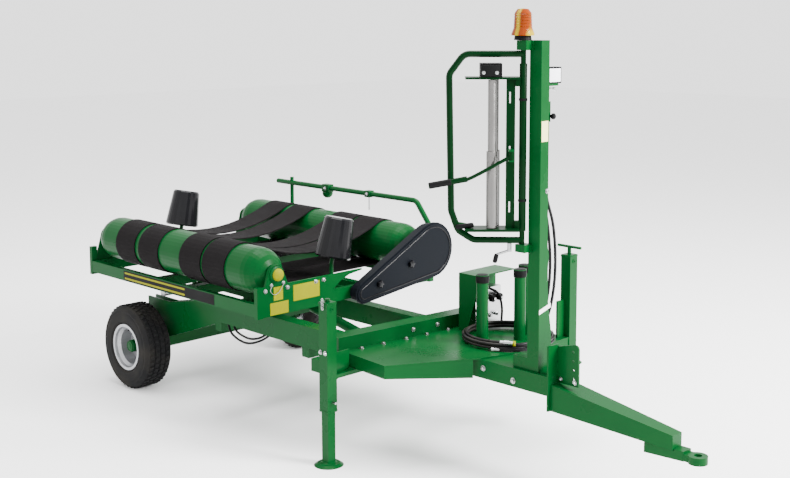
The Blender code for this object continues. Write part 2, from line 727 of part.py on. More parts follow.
# ---------------------------------------------------------------- tipping frame
def make_tilt_frame():
    tilt = body("tipping_frame", (0.0, 0.0, TILT_Z), MACHINE)
    ends = TILT_LUG_Y - TILT_LUG / 2.0 - 0.004
    eye_x, eye_z = CYLINDER_ROD_EYE
    pieces = [
        rod((0, -ends, TILT_Z), (0, ends, TILT_Z), 0.030, sides=24),
        box((TABLE_X - 0.260, -TILT_ARM_Y - 0.05, TILT_ARM_TOP - 0.002),
            (TABLE_X + 0.260, TILT_ARM_Y + 0.05, TILT_ARM_TOP + 0.010)),
        rod((TABLE_X, 0, TILT_ARM_TOP + 0.008), (TABLE_X, 0, TABLE_BOTTOM - FIT), RING_RADIUS, sides=40),
        box((eye_x + 0.045, -TILT_ARM_Y, 0.658), (eye_x + 0.100, TILT_ARM_Y, 0.688)),
    ]
    for side in (-1.0, 1.0):
        low, high = sorted((side * (TILT_ARM_Y - TILT_ARM / 2), side * (TILT_ARM_Y + TILT_ARM / 2)))
        pieces.append(box((-0.005, low, TILT_ARM_BOTTOM), (eye_x + 0.170, high, TILT_ARM_TOP)))
        near = side * (CYLINDER_EYE / 2.0 + 0.009)
        outline = [(eye_x + 0.060, 0.628), (eye_x + 0.060, 0.685), (eye_x, eye_z + 0.028)]
        outline += arc((eye_x, eye_z), 0.028, 90, 270)[1:]
        pieces.append(plate(outline, (0, near, 0), (1, 0, 0), (0, 0, 1), 0.012))
        boss = side * (CYLINDER_EYE / 2.0 + 0.014)
        pieces.append(rod((eye_x, boss, eye_z), (eye_x, boss + side * 0.010, eye_z), CYLINDER_PIN + 0.004,
                          sides=16))
    frame = cut(union(*pieces), rod((0, -0.3, TILT_Z), (0, 0.3, TILT_Z), TILT_PIN + RUN))
    node(frame, "tipping_frame_beam", "green", tilt)

    base_x, base_z = CYLINDER_BASE
    base, eye = Vector((base_x, 0, base_z)), Vector((eye_x, 0, eye_z))
    way = (eye - base).normalized()
    half = CYLINDER_EYE / 2.0
    barrel_body = body("tipping_cylinder", base, MACHINE)
    barrel = union(
        rod(base, base + way * 0.050, 0.017, sides=20),
        rod(base + way * 0.036, base + way * CYLINDER_LENGTH, CYLINDER_RADIUS, sides=24),
        rod(base - Vector((0, half, 0)), base + Vector((0, half, 0)), 0.026, sides=20),
    )
    barrel = cut(
        barrel,
        rod(base + way * 0.060, base + way * 0.6, CYLINDER_ROD + RUN, sides=20),
        rod(base - Vector((0, 0.1, 0)), base + Vector((0, 0.1, 0)), CYLINDER_PIN + RUN),
    )
    node(barrel, "cylinder_barrel", "green", barrel_body)
    rod_body = body("cylinder_rod_body", eye, barrel_body)
    ram = union(
        rod(base + way * 0.070, eye - way * 0.010, CYLINDER_ROD, sides=20),
        rod(eye - Vector((0, half, 0)), eye + Vector((0, half, 0)), 0.026, sides=20),
    )
    node(ram, "cylinder_rod", "silver", rod_body)
    reach = Vector((0, half + 0.018, 0))
    node(rod(base - reach, base + reach, CYLINDER_PIN, sides=16), "cylinder_pin", "silver", MACHINE)
    return tilt


# ---------------------------------------------------------------- turntable
def make_table(tilt):
    table = body("turntable", (TABLE_X, 0.0, TABLE_BOTTOM), tilt)
    wide = TABLE_HALF_WIDTH
    low, high = TABLE_BOTTOM, TABLE_BOTTOM + RAIL_HEIGHT
    rail = 0.040
    bear = 0.058
    pieces = []
    for side in (-1.0, 1.0):
        near, far = sorted((side * (wide - rail), side * wide))
        pieces.append(box((TABLE_REAR + 0.010, near, low + 0.004), (TABLE_FRONT - 0.010, far, high)))
        pieces.append(box((TABLE_REAR, near - 0.001, low - 0.014),
                          (TABLE_REAR + 0.032, far + 0.001, END_PLATE_TOP)))
        pieces.append(box((TABLE_FRONT - 0.032, near - 0.001, low - 0.006),
                          (TABLE_FRONT - 0.001, far + 0.001, END_PLATE_TOP)))
    for x in (TABLE_REAR + 0.003, TABLE_FRONT - 0.045):
        pieces.append(box((x, -wide + 0.012, low + 0.001), (x + 0.040, wide - 0.012, high - 0.004)))
    for x in (TABLE_X - 0.215, TABLE_X + 0.155):
        pieces.append(box((x, -wide + 0.011, low), (x + 0.060, wide - 0.011, high - 0.012)))
    for y in (-0.170, 0.110):
        pieces.append(box((TABLE_REAR + 0.02, y, low + 0.002),
                          (TABLE_FRONT - 0.02, y + 0.060, high - 0.010)))
    pieces.append(rod((TABLE_X, 0, low), (TABLE_X, 0, low + 0.012), RING_RADIUS - 0.01, sides=40))

    def end_plate(x):
        tall = END_PLATE_TOP + 0.001
        outline = [(-wide + 0.001, low - 0.002), (-0.190, low - 0.002), (-0.175, 0.770), (-0.145, 0.815),
                   (-0.095, 0.852), (-0.020, 0.882), (0.090, 0.896), (0.090, tall)]
        outline += [(-ROLLER_Y + bear + 0.03, tall), *arc((-ROLLER_Y, ROLLER_Z), bear, 10, 170, 8),
                    (-ROLLER_Y - bear - 0.03, tall), (-wide + 0.001, tall)]
        return plate(outline, (x, 0, 0), (0, 1, 0), (0, 0, 1), 0.0083)

    def bearing_plate(x, side):
        outline = [(-0.130, low + 0.011), (0.130, low + 0.011), (bear + 0.02, END_PLATE_TOP - 0.001),
                   *arc((0.0, ROLLER_Z), bear - 0.001, 10, 170, 8), (-bear - 0.02, END_PLATE_TOP - 0.001)]
        return plate(outline, (x, side * ROLLER_Y, 0), (0, 1, 0), (0, 0, 1), 0.012)

    pieces.append(end_plate(TABLE_FRONT - 0.005))
    pieces.append(bearing_plate(TABLE_FRONT - 0.020, -1.0))
    pieces.append(bearing_plate(TABLE_FRONT - 0.020, 1.0))
    pieces.append(bearing_plate(TABLE_REAR + 0.012, -1.0))
    pieces.append(bearing_plate(TABLE_REAR + 0.012, 1.0))
    for end in CONES:
        foot, base, way = cone_frame(end)
        stem_top = base + way * 0.050
        knee = base - way * 0.045
        under = Vector((knee.x, knee.y, foot.z))
        pieces.append(tube(bent([foot, under, knee, stem_top], 0.035, 4), CONE_PIN))
    shafts = [
        rod((TABLE_FRONT - 0.05, side * ROLLER_Y, ROLLER_Z),
            (TABLE_FRONT + 0.06, side * ROLLER_Y, ROLLER_Z), ROLLER_SHAFT + RUN)
        for side in (-1.0, 1.0)
    ]
    shafts += [
        rod((TABLE_REAR - 0.06, side * ROLLER_Y, ROLLER_Z), (TABLE_REAR + 0.05, side * ROLLER_Y, ROLLER_Z),
            ROLLER_SHAFT + RUN)
        for side in (-1.0, 1.0)
    ]
    node(cut(union(*pieces), *shafts), "table_frame", "green", table)

    for side, name in ((-1.0, "roller_right"), (1.0, "roller_left")):
        length = ROLLER_FRONT - ROLLER_REAR
        profile = [(0.0, length + ROLLER_DOME + 0.065), (ROLLER_SHAFT, length + ROLLER_DOME + 0.065),
                   (ROLLER_SHAFT, length + ROLLER_DOME - 0.004)]
        profile += dome(length, 1.0)
        profile += dome(0.0, -1.0)
        profile += [(ROLLER_SHAFT, -ROLLER_DOME + 0.004), (ROLLER_SHAFT, -ROLLER_DOME - 0.040),
                    (0.0, -ROLLER_DOME - 0.040)]
        start = (ROLLER_REAR, side * ROLLER_Y, ROLLER_Z)
        node(turned(profile, start, (1.0, 0.0, 0.0), 36), name, "green", table)

    for index, x in enumerate(BELT_CENTRES):
        node(make_belt(x), "belt_" + str(index + 1), "belt", table)

    for end, name in zip(CONES, ("front", "rear")):
        foot, base, way = cone_frame(end)
        spinner = body("cone_" + name + "_body", base, table)
        profile = [(0.0, CONE_HEIGHT), (CONE_TOP - 0.010, CONE_HEIGHT), (CONE_TOP, CONE_HEIGHT - 0.012),
                   (CONE_BOTTOM, 0.010), (CONE_BOTTOM - 0.008, 0.0), (CONE_PIN + RUN, 0.0),
                   (CONE_PIN + RUN, 0.051), (0.0, 0.051)]
        node(turned(profile, base, way, 32), "cone_" + name, "black", spinner)

    make_cover(table)
    make_bar(table)
    return table


ROLLER_SHAFT = 0.022
BELT_FALL = math.radians(25.0)
BELT_CENTRES = (-0.050, 0.228, 0.705, 0.957)
CONE_HEIGHT = 0.262
CONE_TOP = 0.096
CONE_BOTTOM = 0.120
CONE_PIN = 0.014
CONES = ((1.215, 0.0, 0.965, 0.03), (-0.500, 0.0, 0.965, -0.03))


def cone_frame(end):
    """The foot, base centre and axis of a bale guide cone."""
    x, y, z, lean = end
    foot_x = TABLE_FRONT - 0.025 if x > TABLE_X else TABLE_REAR + 0.025
    foot = Vector((foot_x, y - 0.006, TABLE_BOTTOM + RAIL_HEIGHT - 0.024))
    way = Vector((lean, 0.22, 1.0)).normalized()
    return foot, Vector((x, y, z)), way


def dome(base, sign):
    """The rounded end of a table roller, from its shaft to its wall or back."""
    points = []
    steps = 6
    for k in range(steps + 1):
        angle = math.radians(90.0 * k / steps)
        radius = ROLLER_SHAFT + (ROLLER_RADIUS - ROLLER_SHAFT) * math.sin(angle)
        points.append((radius, base + sign * (ROLLER_DOME - 0.004) * math.cos(angle)))
    points = points[1:]
    return points if sign > 0 else points[::-1]


def make_belt(x):
    """An endless belt round both rollers whose upper run hangs in a curve."""
    radius = ROLLER_RADIUS + BELT_GAP + BELT_THICK / 2.0
    steps = 18
    sweep = math.pi + BELT_FALL
    path = []
    for k in range(steps + 1):
        angle = -math.pi / 2.0 + sweep * k / steps
        path.append((ROLLER_Y + radius * math.cos(angle), ROLLER_Z + radius * math.sin(angle)))
    lip = path[-1]
    sag = math.tan(BELT_FALL) * lip[0] / 2.0
    runs = 12
    for k in range(1, runs):
        share = 1.0 - 2.0 * k / runs
        path.append((share * lip[0], lip[1] - sag * (1.0 - share ** 2)))
    for k in range(steps + 1):
        angle = math.pi / 2.0 - BELT_FALL + sweep * k / steps
        path.append((-ROLLER_Y + radius * math.cos(angle), ROLLER_Z + radius * math.sin(angle)))
    count = len(path)

    def build(work):
        rings = []
        for side in (-0.5, 0.5):
            for offset in (-0.5, 0.5):
                ring = []
                for k, (y, z) in enumerate(path):
                    before, after = path[k - 1], path[(k + 1) % count]
                    along = Vector((0, after[0] - before[0], after[1] - before[1])).normalized()
                    out = Vector((1, 0, 0)).cross(along)
                    spot = Vector((x + side * BELT_WIDTH, y, z)) + out * offset * BELT_THICK
                    ring.append(work.verts.new(spot))
                rings.append(ring)
        for first, second in ((0, 1), (1, 3), (3, 2), (2, 0)):
            for k in range(count):
                n = (k + 1) % count
                work.faces.new((rings[first][k], rings[first][n], rings[second][n], rings[second][k]))
    return mesh_object(build, "belt")


def make_cover(table):
    back = TABLE_FRONT + 0.012
    big, small = (0.665, 0.958, 0.175), (0.030, 0.762, 0.056)
    depth = 0.078
    rise = math.degrees(math.atan2(big[1] - small[1], big[0] - small[0]))
    gap = math.hypot(big[0] - small[0], big[1] - small[1])
    flare = math.degrees(math.asin((big[2] - small[2]) / gap))

    def outline(inset):
        top, bottom = rise + 90.0 + flare, rise - 90.0 - flare
        shape = arc(big[:2], big[2] - inset, bottom, top, 14)
        shape += arc(small[:2], small[2] - inset, top, 360.0 + bottom, 6)
        return shape
    outer = plate(outline(0.0), (back + depth / 2.0, 0, 0), (0, 1, 0), (0, 0, 1), depth)
    inner = plate(outline(0.010), (back + depth / 2.0 - 0.010, 0, 0), (0, 1, 0), (0, 0, 1), depth)
    rim = plate(outline(-0.012), (back + depth - 0.012, 0, 0), (0, 1, 0), (0, 0, 1), 0.010)
    shell = cut(union(outer, rim), inner)
    node(shell, "chain_cover", "cover", table)
    bracket = union(
        box((TABLE_FRONT + FIT, 0.150, 0.760), (TABLE_FRONT + 0.050, 0.200, 0.798)),
        box((TABLE_FRONT - 0.005 + FIT, 0.151, 0.750), (TABLE_FRONT + 0.008, 0.712, 0.790)),
        box((TABLE_FRONT + 0.001, 0.430, 0.736), (back - 0.001, 0.460, 0.860)),
        box((TABLE_FRONT + 0.002, 0.431, 0.800), (back + depth - 0.0105, 0.459, 0.859)),
    )
    node(bracket, "cover_bracket", "green", table)


def make_bar(table):
    y = TABLE_HALF_WIDTH + 0.034
    top = 1.245
    bar = tube(bent([(-0.330, y, top), (1.200, y, top + 0.004), (1.352, y, 1.060), (1.352, y, 0.740)],
                    0.060), 0.019)
    piece = union(
        bar,
        rod((-0.160, y, 0.735), (-0.160, y, top + 0.045), 0.015, sides=16),
        box((-0.190, TABLE_HALF_WIDTH + FIT, 0.740), (-0.130, y + 0.004, 0.795)),
        box((1.330, TABLE_HALF_WIDTH + 0.001 + FIT, 0.740), (1.374, y + 0.004, 0.795)),
    )
    node(piece, "bale_retaining_bar", "green", table)


# ---------------------------------------------------------------- film dispenser
def on_arm(reach, height, across=0.0):
    """A point of the dispenser arm, by its reach from the hinge and its height."""
    base = Vector((ARM_HINGE_X, ARM_HINGE_Y, height))
    return base + OUTWARD * reach + ACROSS * across


def arm_block(reach, height, size, across=0.0):
    return block(on_arm(reach, height, across), size, along=OUTWARD)


def make_dispenser():
    arm = body("dispenser_arm", (ARM_HINGE_X, ARM_HINGE_Y, ARM_BOTTOM), MACHINE)
    corners = [(0.0, ARM_TOP), (0.315, ARM_TOP), (0.395, 2.215), (0.383, 1.480), (0.345, 1.372),
               (0.262, ARM_BOTTOM + 0.002), (0.0, ARM_BOTTOM)]
    loop = tube(bent([on_arm(s, z) for s, z in corners], 0.060), ARM_TUBE)
    hinge = rod(on_arm(0, ARM_BOTTOM - 0.022), on_arm(0, ARM_TOP + 0.020), HINGE_RADIUS, sides=16)
    node(union(loop, hinge), "dispenser_arm_hoop", "green", arm)

    seat = HINGE_RADIUS + FIT
    lower, upper = FILM_ROLLER_BOTTOM - 0.025, FILM_ROLLER_TOP + 0.015
    frame = union(
        arm_block(0.165, lower, (0.290, 0.130, 0.014)),
        arm_block(0.165, upper, (0.290, 0.130, 0.012)),
        arm_block(0.066, (lower + upper) / 2.0, (0.048, 0.018, upper - lower)),
        arm_block(seat + 0.0135, lower + 0.02, (0.027, 0.030, 0.050)),
        arm_block(seat + 0.0135, upper - 0.02, (0.027, 0.030, 0.050)),
    )
    slots = [arm_block(0.070, z, (0.008, 0.040, 0.060)) for z in (1.500, 1.800, 2.090)]
    node(cut(frame, *slots), "dispenser_frame", "green", arm)
    node(arm_block(0.174, upper + 0.006 + FIT + 0.036, (0.116, 0.125, 0.072)), "stretch_gearbox", "black",
         arm)

    for index, (reach, across) in enumerate(FILM_ROLLERS):
        low, high = lower + 0.007 + 0.004, upper - 0.006 - 0.004
        spin = body("stretch_roller_" + str(index + 1) + "_body", on_arm(reach, low, across), arm)
        length = high - low
        step = length * 0.52
        end = 0.0036
        profile = [(0.0, length + end), (0.010, length + end), (0.010, length), (0.024, length),
                   (0.024, step),
                   (0.031, step), (0.031, 0.0), (0.010, 0.0), (0.010, -end), (0.0, -end)]
        node(turned(profile, on_arm(reach, low, across), UP, 24), "stretch_roller_" + str(index + 1),
             "silver", spin)

    crank = union(
        rod(on_arm(0.067, ARM_BOTTOM - ARM_TUBE + 0.0001), on_arm(0.067, 1.255), 0.012, sides=16),
        rod(on_arm(0.067, 1.262), on_arm(0.135, 1.240), 0.007, sides=12),
    )
    node(crank, "height_crank", "silver", arm)

    pivot = on_arm(0.066, 1.785, LEVER_SIDE)
    lever_body = body("roll_lever", pivot, arm)
    lever = union(
        rod(pivot - UP * 0.022, pivot + UP * 0.022, 0.016, sides=16),
        tube(smooth_route([pivot, on_arm(0.10, 1.765, LEVER_SIDE), on_arm(0.275, 1.670, LEVER_SIDE),
                           on_arm(0.330, 1.655, LEVER_SIDE)], 4), 0.010),
        rod(on_arm(0.300, 1.662, LEVER_SIDE), on_arm(0.505, 1.625, LEVER_SIDE), 0.016, sides=16),
    )
    lever = cut(lever, rod(pivot - UP * 0.1, pivot + UP * 0.1, 0.0085 + RUN, sides=12))
    node(lever, "roll_tension_lever", "green", lever_body)
    carrier = union(
        arm_block(0.066, 1.785 - 0.027, (0.030, LEVER_SIDE, 0.009), LEVER_SIDE / 2.0 + 0.0093),
        arm_block(0.066, 1.785 + 0.027, (0.030, LEVER_SIDE, 0.009), LEVER_SIDE / 2.0 + 0.0093),
        rod(pivot - UP * 0.028, pivot + UP * 0.028, 0.0085, sides=12),
    )
    node(carrier, "lever_bracket", "green", arm)


LEVER_SIDE = 0.082
FILM_ROLLERS = ((0.165, 0.022), (0.150, -0.046))


# ---------------------------------------------------------------- build
def main():
    make_axle()
    make_wheels()
    make_chassis()
    make_deck()
    make_neck()
    make_drawbar()
    make_jack("right", JACK_X, JACK_Y, JACK_BOTTOM, 0.0, 0.600)
    make_jack("left", JACK_LEFT_X, JACK_LEFT_Y, JACK_LEFT_BOTTOM, JACK_LEFT_BOTTOM - 0.036, 0.600)
    make_mast()
    make_deck_fittings()
    tilt = make_tilt_frame()
    make_table(tilt)
    make_dispenser()


main()
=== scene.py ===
"""Finish for a trailed round bale wrapper: paint, rubber, plated steel and its small fittings."""
import math

import bpy
from bpy.props import FloatProperty, FloatVectorProperty, PointerProperty
from mathutils import Matrix, Vector


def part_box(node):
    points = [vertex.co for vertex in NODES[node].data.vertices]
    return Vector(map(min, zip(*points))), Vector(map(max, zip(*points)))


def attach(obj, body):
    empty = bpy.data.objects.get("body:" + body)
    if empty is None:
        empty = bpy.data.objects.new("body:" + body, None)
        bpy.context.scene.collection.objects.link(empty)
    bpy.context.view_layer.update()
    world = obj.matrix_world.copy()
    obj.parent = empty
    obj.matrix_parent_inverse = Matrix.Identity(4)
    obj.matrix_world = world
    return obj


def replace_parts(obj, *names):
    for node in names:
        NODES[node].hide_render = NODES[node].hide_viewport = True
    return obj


bl_info = {
    "name": "Bale wrapper finish",
    "version": (1, 0, 0),
    "blender": (4, 5, 0),
    "location": "View3D > Sidebar > Wrapper",
    "description": "Paint, rubber, fittings, floor and lights of a trailed round bale wrapper",
    "category": "Object",
}

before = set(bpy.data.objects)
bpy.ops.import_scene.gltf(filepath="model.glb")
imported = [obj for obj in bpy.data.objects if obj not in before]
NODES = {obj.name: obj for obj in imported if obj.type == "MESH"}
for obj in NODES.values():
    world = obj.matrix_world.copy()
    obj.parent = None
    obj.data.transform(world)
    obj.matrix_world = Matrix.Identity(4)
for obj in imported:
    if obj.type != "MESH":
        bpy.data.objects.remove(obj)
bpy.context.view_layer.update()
UP = Vector((0.0, 0.0, 1.0))

AXLE_X = (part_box("axle")[0].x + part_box("axle")[1].x) / 2.0
AXLE_X = round(AXLE_X - 0.0175, 4)     # the plates on the axle reach further forward than back
WHEEL_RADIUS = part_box("tyre_right")[1].z / 2.0
WHEEL_MIDDLE = 0.715
TYRE_HALF = 0.1025
TABLE_FRONT = AXLE_X + 1.400
TABLE_SIDE = 0.755
RAIL_LOW, RAIL_HIGH = 0.726, 0.804
ROLLER_Y, ROLLER_Z = 0.61, 0.972
DECK_Z = 0.600
CROSS_X, CROSS_SKEW = AXLE_X + 2.015, 0.104
MAST_FRONT = AXLE_X + 3.020
MAST_RIGHT, MAST_LEFT = -0.099, -0.031
HINGE = Vector((AXLE_X + 2.922, -0.131, 0.0))
OUTWARD = Vector((-0.713, -0.701, 0.0)).normalized()
ACROSS = Vector((-OUTWARD.y, OUTWARD.x, 0.0))
HOSE = 0.019
HOSE_TURNS = 4.0
HOSE_POINTS = 26              # points of the line in each turn
SLEEVE_LOW, SLEEVE_HIGH = 1.368, 2.272
SLEEVE_BORE, SLEEVE_RADIUS = 0.0135, 0.0205
COVER_BIG = (0.665, 0.958, 0.175)
COVER_SMALL = (0.030, 0.762, 0.056)
COVER_BEAD = 0.020


def at(x, y, z):
    """A point given by its distance in front of the axle."""
    return Vector((AXLE_X + x, y, z))


def on_arm(reach, height, across=0.0):
    """A point of the dispenser arm by its reach from the hinge."""
    return HINGE + OUTWARD * reach + ACROSS * across + UP * height


# ---------------------------------------------------------------- modelling
def calm():
    if bpy.context.object and bpy.context.object.mode != "OBJECT":
        bpy.ops.object.mode_set(mode="OBJECT")
    bpy.ops.object.select_all(action="DESELECT")


def wake(piece):
    calm()
    piece.select_set(True)
    bpy.context.view_layer.objects.active = piece


def loop(points, filled):
    """A ring of edges through the points, as a face or open."""
    calm()
    kind = "NGON" if filled else "NOTHING"
    bpy.ops.mesh.primitive_circle_add(vertices=len(points), radius=0.1, fill_type=kind)
    piece = bpy.context.object
    for vertex, point in zip(piece.data.vertices, points):
        vertex.co = point
    return piece


def tidy(piece):
    wake(piece)
    bpy.ops.object.mode_set(mode="EDIT")
    bpy.ops.mesh.select_all(action="SELECT")
    bpy.ops.mesh.remove_doubles(threshold=0.00002)
    bpy.ops.mesh.normals_make_consistent(inside=False)
    bpy.ops.object.mode_set(mode="OBJECT")


def prism(points, reach, bevel=0.0):
    piece = loop(points, True)
    bpy.ops.object.mode_set(mode="EDIT")
    bpy.ops.mesh.select_all(action="SELECT")
    bpy.ops.mesh.extrude_region_move(TRANSFORM_OT_translate={"value": Vector(reach)})
    bpy.ops.object.mode_set(mode="OBJECT")
    tidy(piece)
    return rounded(piece, bevel)


def slab(low, high, bevel=0.002):
    low, high = Vector(low), Vector(high)
    outline = [low, (high.x, low.y, low.z), (high.x, high.y, low.z), (low.x, high.y, low.z)]
    return prism(outline, (0.0, 0.0, high.z - low.z), bevel)


def rounded(piece, bevel, segments=2):
    if bevel > 0.0:
        wake(piece)
        edge = piece.modifiers.new("edge", "BEVEL")
        edge.width = bevel
        edge.segments = segments
        edge.limit_method = "ANGLE"
        edge.angle_limit = math.radians(35.0)
        bpy.ops.object.modifier_apply(modifier="edge")
    return piece


def facing(origin, axis):
    turn = Vector((0.0, 0.0, 1.0)).rotation_difference(Vector(axis).normalized())
    return Matrix.Translation(Vector(origin)) @ turn.to_matrix().to_4x4()


def lathe(profile, origin, axis=(0.0, 0.0, 1.0), steps=32):
    """A closed outline of (radius, height) pairs spun round an axis."""
    piece = loop([Vector((r, 0.0, h)) for r, h in profile], False)
    bpy.ops.object.mode_set(mode="EDIT")
    bpy.ops.mesh.select_all(action="SELECT")
    bpy.ops.mesh.spin(steps=steps, angle=2.0 * math.pi, center=(0.0, 0.0, 0.0), axis=(0.0, 0.0, 1.0))
    bpy.ops.object.mode_set(mode="OBJECT")
    tidy(piece)
    piece.data.transform(facing(origin, axis))
    return piece


def curve_of(points, radius, sides=3):
    data = bpy.data.curves.new("run", "CURVE")
    data.dimensions = "3D"
    data.bevel_depth = radius
    data.bevel_resolution = sides
    data.use_fill_caps = True
    spline = data.splines.new("POLY")
    spline.points.add(len(points) - 1)
    for place, point in zip(spline.points, points):
        place.co = (*point, 1.0)
    piece = bpy.data.objects.new("run", data)
    bpy.context.scene.collection.objects.link(piece)
    return piece


def smooth_run(points, steps=6):
    """Points of a smooth line through the given ones."""
    points = [Vector(p) for p in points]
    ends = [points[0] * 2.0 - points[1], *points, points[-1] * 2.0 - points[-2]]
    made = []
    for k in range(1, len(ends) - 2):
        a, b, c, d = ends[k - 1:k + 3]
        for n in range(steps):
            t = n / steps
            made.append(0.5 * (2 * b + (c - a) * t + (2 * a - 5 * b + 4 * c - d) * t * t
                               + (3 * b - a - 3 * c + d) * t ** 3))
    return made + [points[-1]]


def pipe(points, radius, smooth=True, sides=3):
    piece = curve_of(smooth_run(points) if smooth else [Vector(p) for p in points], radius, sides)
    wake(piece)
    bpy.ops.object.convert(target="MESH")
    piece = bpy.context.object
    tidy(piece)
    return piece


def copied(piece, matrix):
    other = piece.copy()
    other.data = piece.data.copy()
    other.data.transform(matrix)
    bpy.context.scene.collection.objects.link(other)
    return other


def joined(pieces):
    calm()
    for piece in pieces:
        piece.select_set(True)
    bpy.context.view_layer.objects.active = pieces[0]
    bpy.ops.object.join()
    return bpy.context.object


def finished(piece, name, body, material, smooth=35.0):
    piece.name = name
    piece.data.name = name
    wake(piece)
    bpy.ops.object.transform_apply(location=True, rotation=True, scale=True)
    if smooth:
        bpy.ops.object.shade_smooth_by_angle(angle=math.radians(smooth))
    piece.data.materials.clear()
    piece.data.materials.append(MATERIALS[material])
    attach(piece, body)
    return piece


def bolts(places, axis, size, washer=True):
    """Hexagon heads on washers, one at each place."""
    parts = []
    head = [Vector((size * math.cos(math.radians(60 * k)), size * math.sin(math.radians(60 * k)), 0.0))
            for k in range(6)]
    first = prism(head, (0.0, 0.0, size * 0.85), size * 0.12)
    if washer:
        ring = lathe([(0.0, size * 0.18), (size * 1.35, size * 0.18), (size * 1.35, 0.0), (0.0, 0.0)],
                     (0.0, 0.0, 0.0), steps=18)
        first.data.transform(Matrix.Translation((0.0, 0.0, size * 0.15)))
        first = joined([first, ring])
    for place in places:
        parts.append(copied(first, facing(place, axis)))
    bpy.data.objects.remove(first, do_unlink=True)
    return joined(parts)


# ---------------------------------------------------------------- materials
MATERIALS = {}
SHADE = {}


def new_group(name, inputs, outputs):
    group = bpy.data.node_groups.new(name, "ShaderNodeTree")
    for label, kind, value in inputs:
        socket = group.interface.new_socket(name=label, in_out="INPUT", socket_type=kind)
        socket.default_value = value
    for label, kind in outputs:
        group.interface.new_socket(name=label, in_out="OUTPUT", socket_type=kind)
    source = group.nodes.new("NodeGroupInput")
    target = group.nodes.new("NodeGroupOutput")
    return group, source, target


def put(tree, kind, links=(), **values):
    made = tree.nodes.new(kind)
    for key, value in values.items():
        if key.startswith("in_"):
            made.inputs[int(key[3:])].default_value = value
        else:
            setattr(made, key, value)
    for index, socket in links:
        tree.links.new(socket, made.inputs[index])
    return made


def build_groups():
    """Shared effects: weathering for paint and plastic, and a fine grain."""
    group, source, target = new_group(
        "weathering",
        [("Colour", "NodeSocketColor", (0.5, 0.5, 0.5, 1.0)),
         ("Dust Colour", "NodeSocketColor", (0.3, 0.27, 0.2, 1.0)),
         ("Dust", "NodeSocketFloat", 0.3), ("Patch Size", "NodeSocketFloat", 6.0),
         ("Rough Low", "NodeSocketFloat", 0.25), ("Rough High", "NodeSocketFloat", 0.45)],
        [("Colour", "NodeSocketColor"), ("Roughness", "NodeSocketFloat"), ("Height", "NodeSocketFloat")],
    )
    place = put(group, "ShaderNodeTexCoord")
    patches = put(group, "ShaderNodeTexNoise", [(0, place.outputs["Object"])], in_3=5.0, in_4=0.6)
    group.links.new(source.outputs["Patch Size"], patches.inputs["Scale"])
    specks = put(group, "ShaderNodeTexNoise", [(0, place.outputs["Object"])], in_2=140.0, in_3=3.0)
    split = put(group, "ShaderNodeSeparateXYZ", [(0, place.outputs["Object"])])
    low = put(group, "ShaderNodeMapRange", [(0, split.outputs["Z"])], in_1=0.0, in_2=1.3, in_3=1.0,
              in_4=0.15)
    form = put(group, "ShaderNodeNewGeometry")
    lie = put(group, "ShaderNodeSeparateXYZ", [(0, form.outputs["Normal"])])
    flat = put(group, "ShaderNodeMapRange", [(0, lie.outputs["Z"])], in_1=0.3, in_2=1.0, in_3=0.35,
               in_4=1.0)
    cover = put(group, "ShaderNodeMapRange", [(0, patches.outputs["Fac"])], in_1=0.42, in_2=0.72, in_3=0.0,
                in_4=1.0)
    one = put(group, "ShaderNodeMath", [(0, low.outputs[0]), (1, flat.outputs[0])], operation="MULTIPLY")
    two = put(group, "ShaderNodeMath", [(0, one.outputs[0]), (1, cover.outputs[0])], operation="MULTIPLY")
    three = put(group, "ShaderNodeMath", [(0, two.outputs[0]), (1, source.outputs["Dust"])],
                operation="MULTIPLY",
                use_clamp=True)
    dusty = put(group, "ShaderNodeMix", data_type="RGBA")
    group.links.new(three.outputs[0], dusty.inputs[0])
    group.links.new(source.outputs["Colour"], dusty.inputs[6])
    group.links.new(source.outputs["Dust Colour"], dusty.inputs[7])
    vary = put(group, "ShaderNodeHueSaturation", [(4, dusty.outputs[2])])
    shade = put(group, "ShaderNodeMapRange", [(0, patches.outputs["Fac"])], in_1=0.3, in_2=0.7, in_3=0.93,
                in_4=1.07)
    group.links.new(shade.outputs[0], vary.inputs["Value"])
    gloss = put(group, "ShaderNodeMapRange", [(0, patches.outputs["Fac"])], in_1=0.3, in_2=0.75)
    group.links.new(source.outputs["Rough Low"], gloss.inputs[3])
    group.links.new(source.outputs["Rough High"], gloss.inputs[4])
    group.links.new(vary.outputs[0], target.inputs[0])
    group.links.new(gloss.outputs[0], target.inputs[1])
    group.links.new(specks.outputs["Fac"], target.inputs[2])
    SHADE["weathering"] = group

    group, source, target = new_group(
        "fine grain",
        [("Scale", "NodeSocketFloat", 300.0), ("Coarse Share", "NodeSocketFloat", 0.4)],
        [("Height", "NodeSocketFloat")],
    )
    place = put(group, "ShaderNodeTexCoord")
    cells = put(group, "ShaderNodeTexVoronoi", [(0, place.outputs["Object"])])
    group.links.new(source.outputs["Scale"], cells.inputs["Scale"])
    coarse = put(group, "ShaderNodeTexNoise", [(0, place.outputs["Object"])], in_2=45.0, in_3=4.0)
    blend = put(group, "ShaderNodeMix", data_type="FLOAT")
    group.links.new(source.outputs["Coarse Share"], blend.inputs[0])
    group.links.new(cells.outputs["Distance"], blend.inputs[2])
    group.links.new(coarse.outputs["Fac"], blend.inputs[3])
    group.links.new(blend.outputs[0], target.inputs[0])
    SHADE["grain"] = group


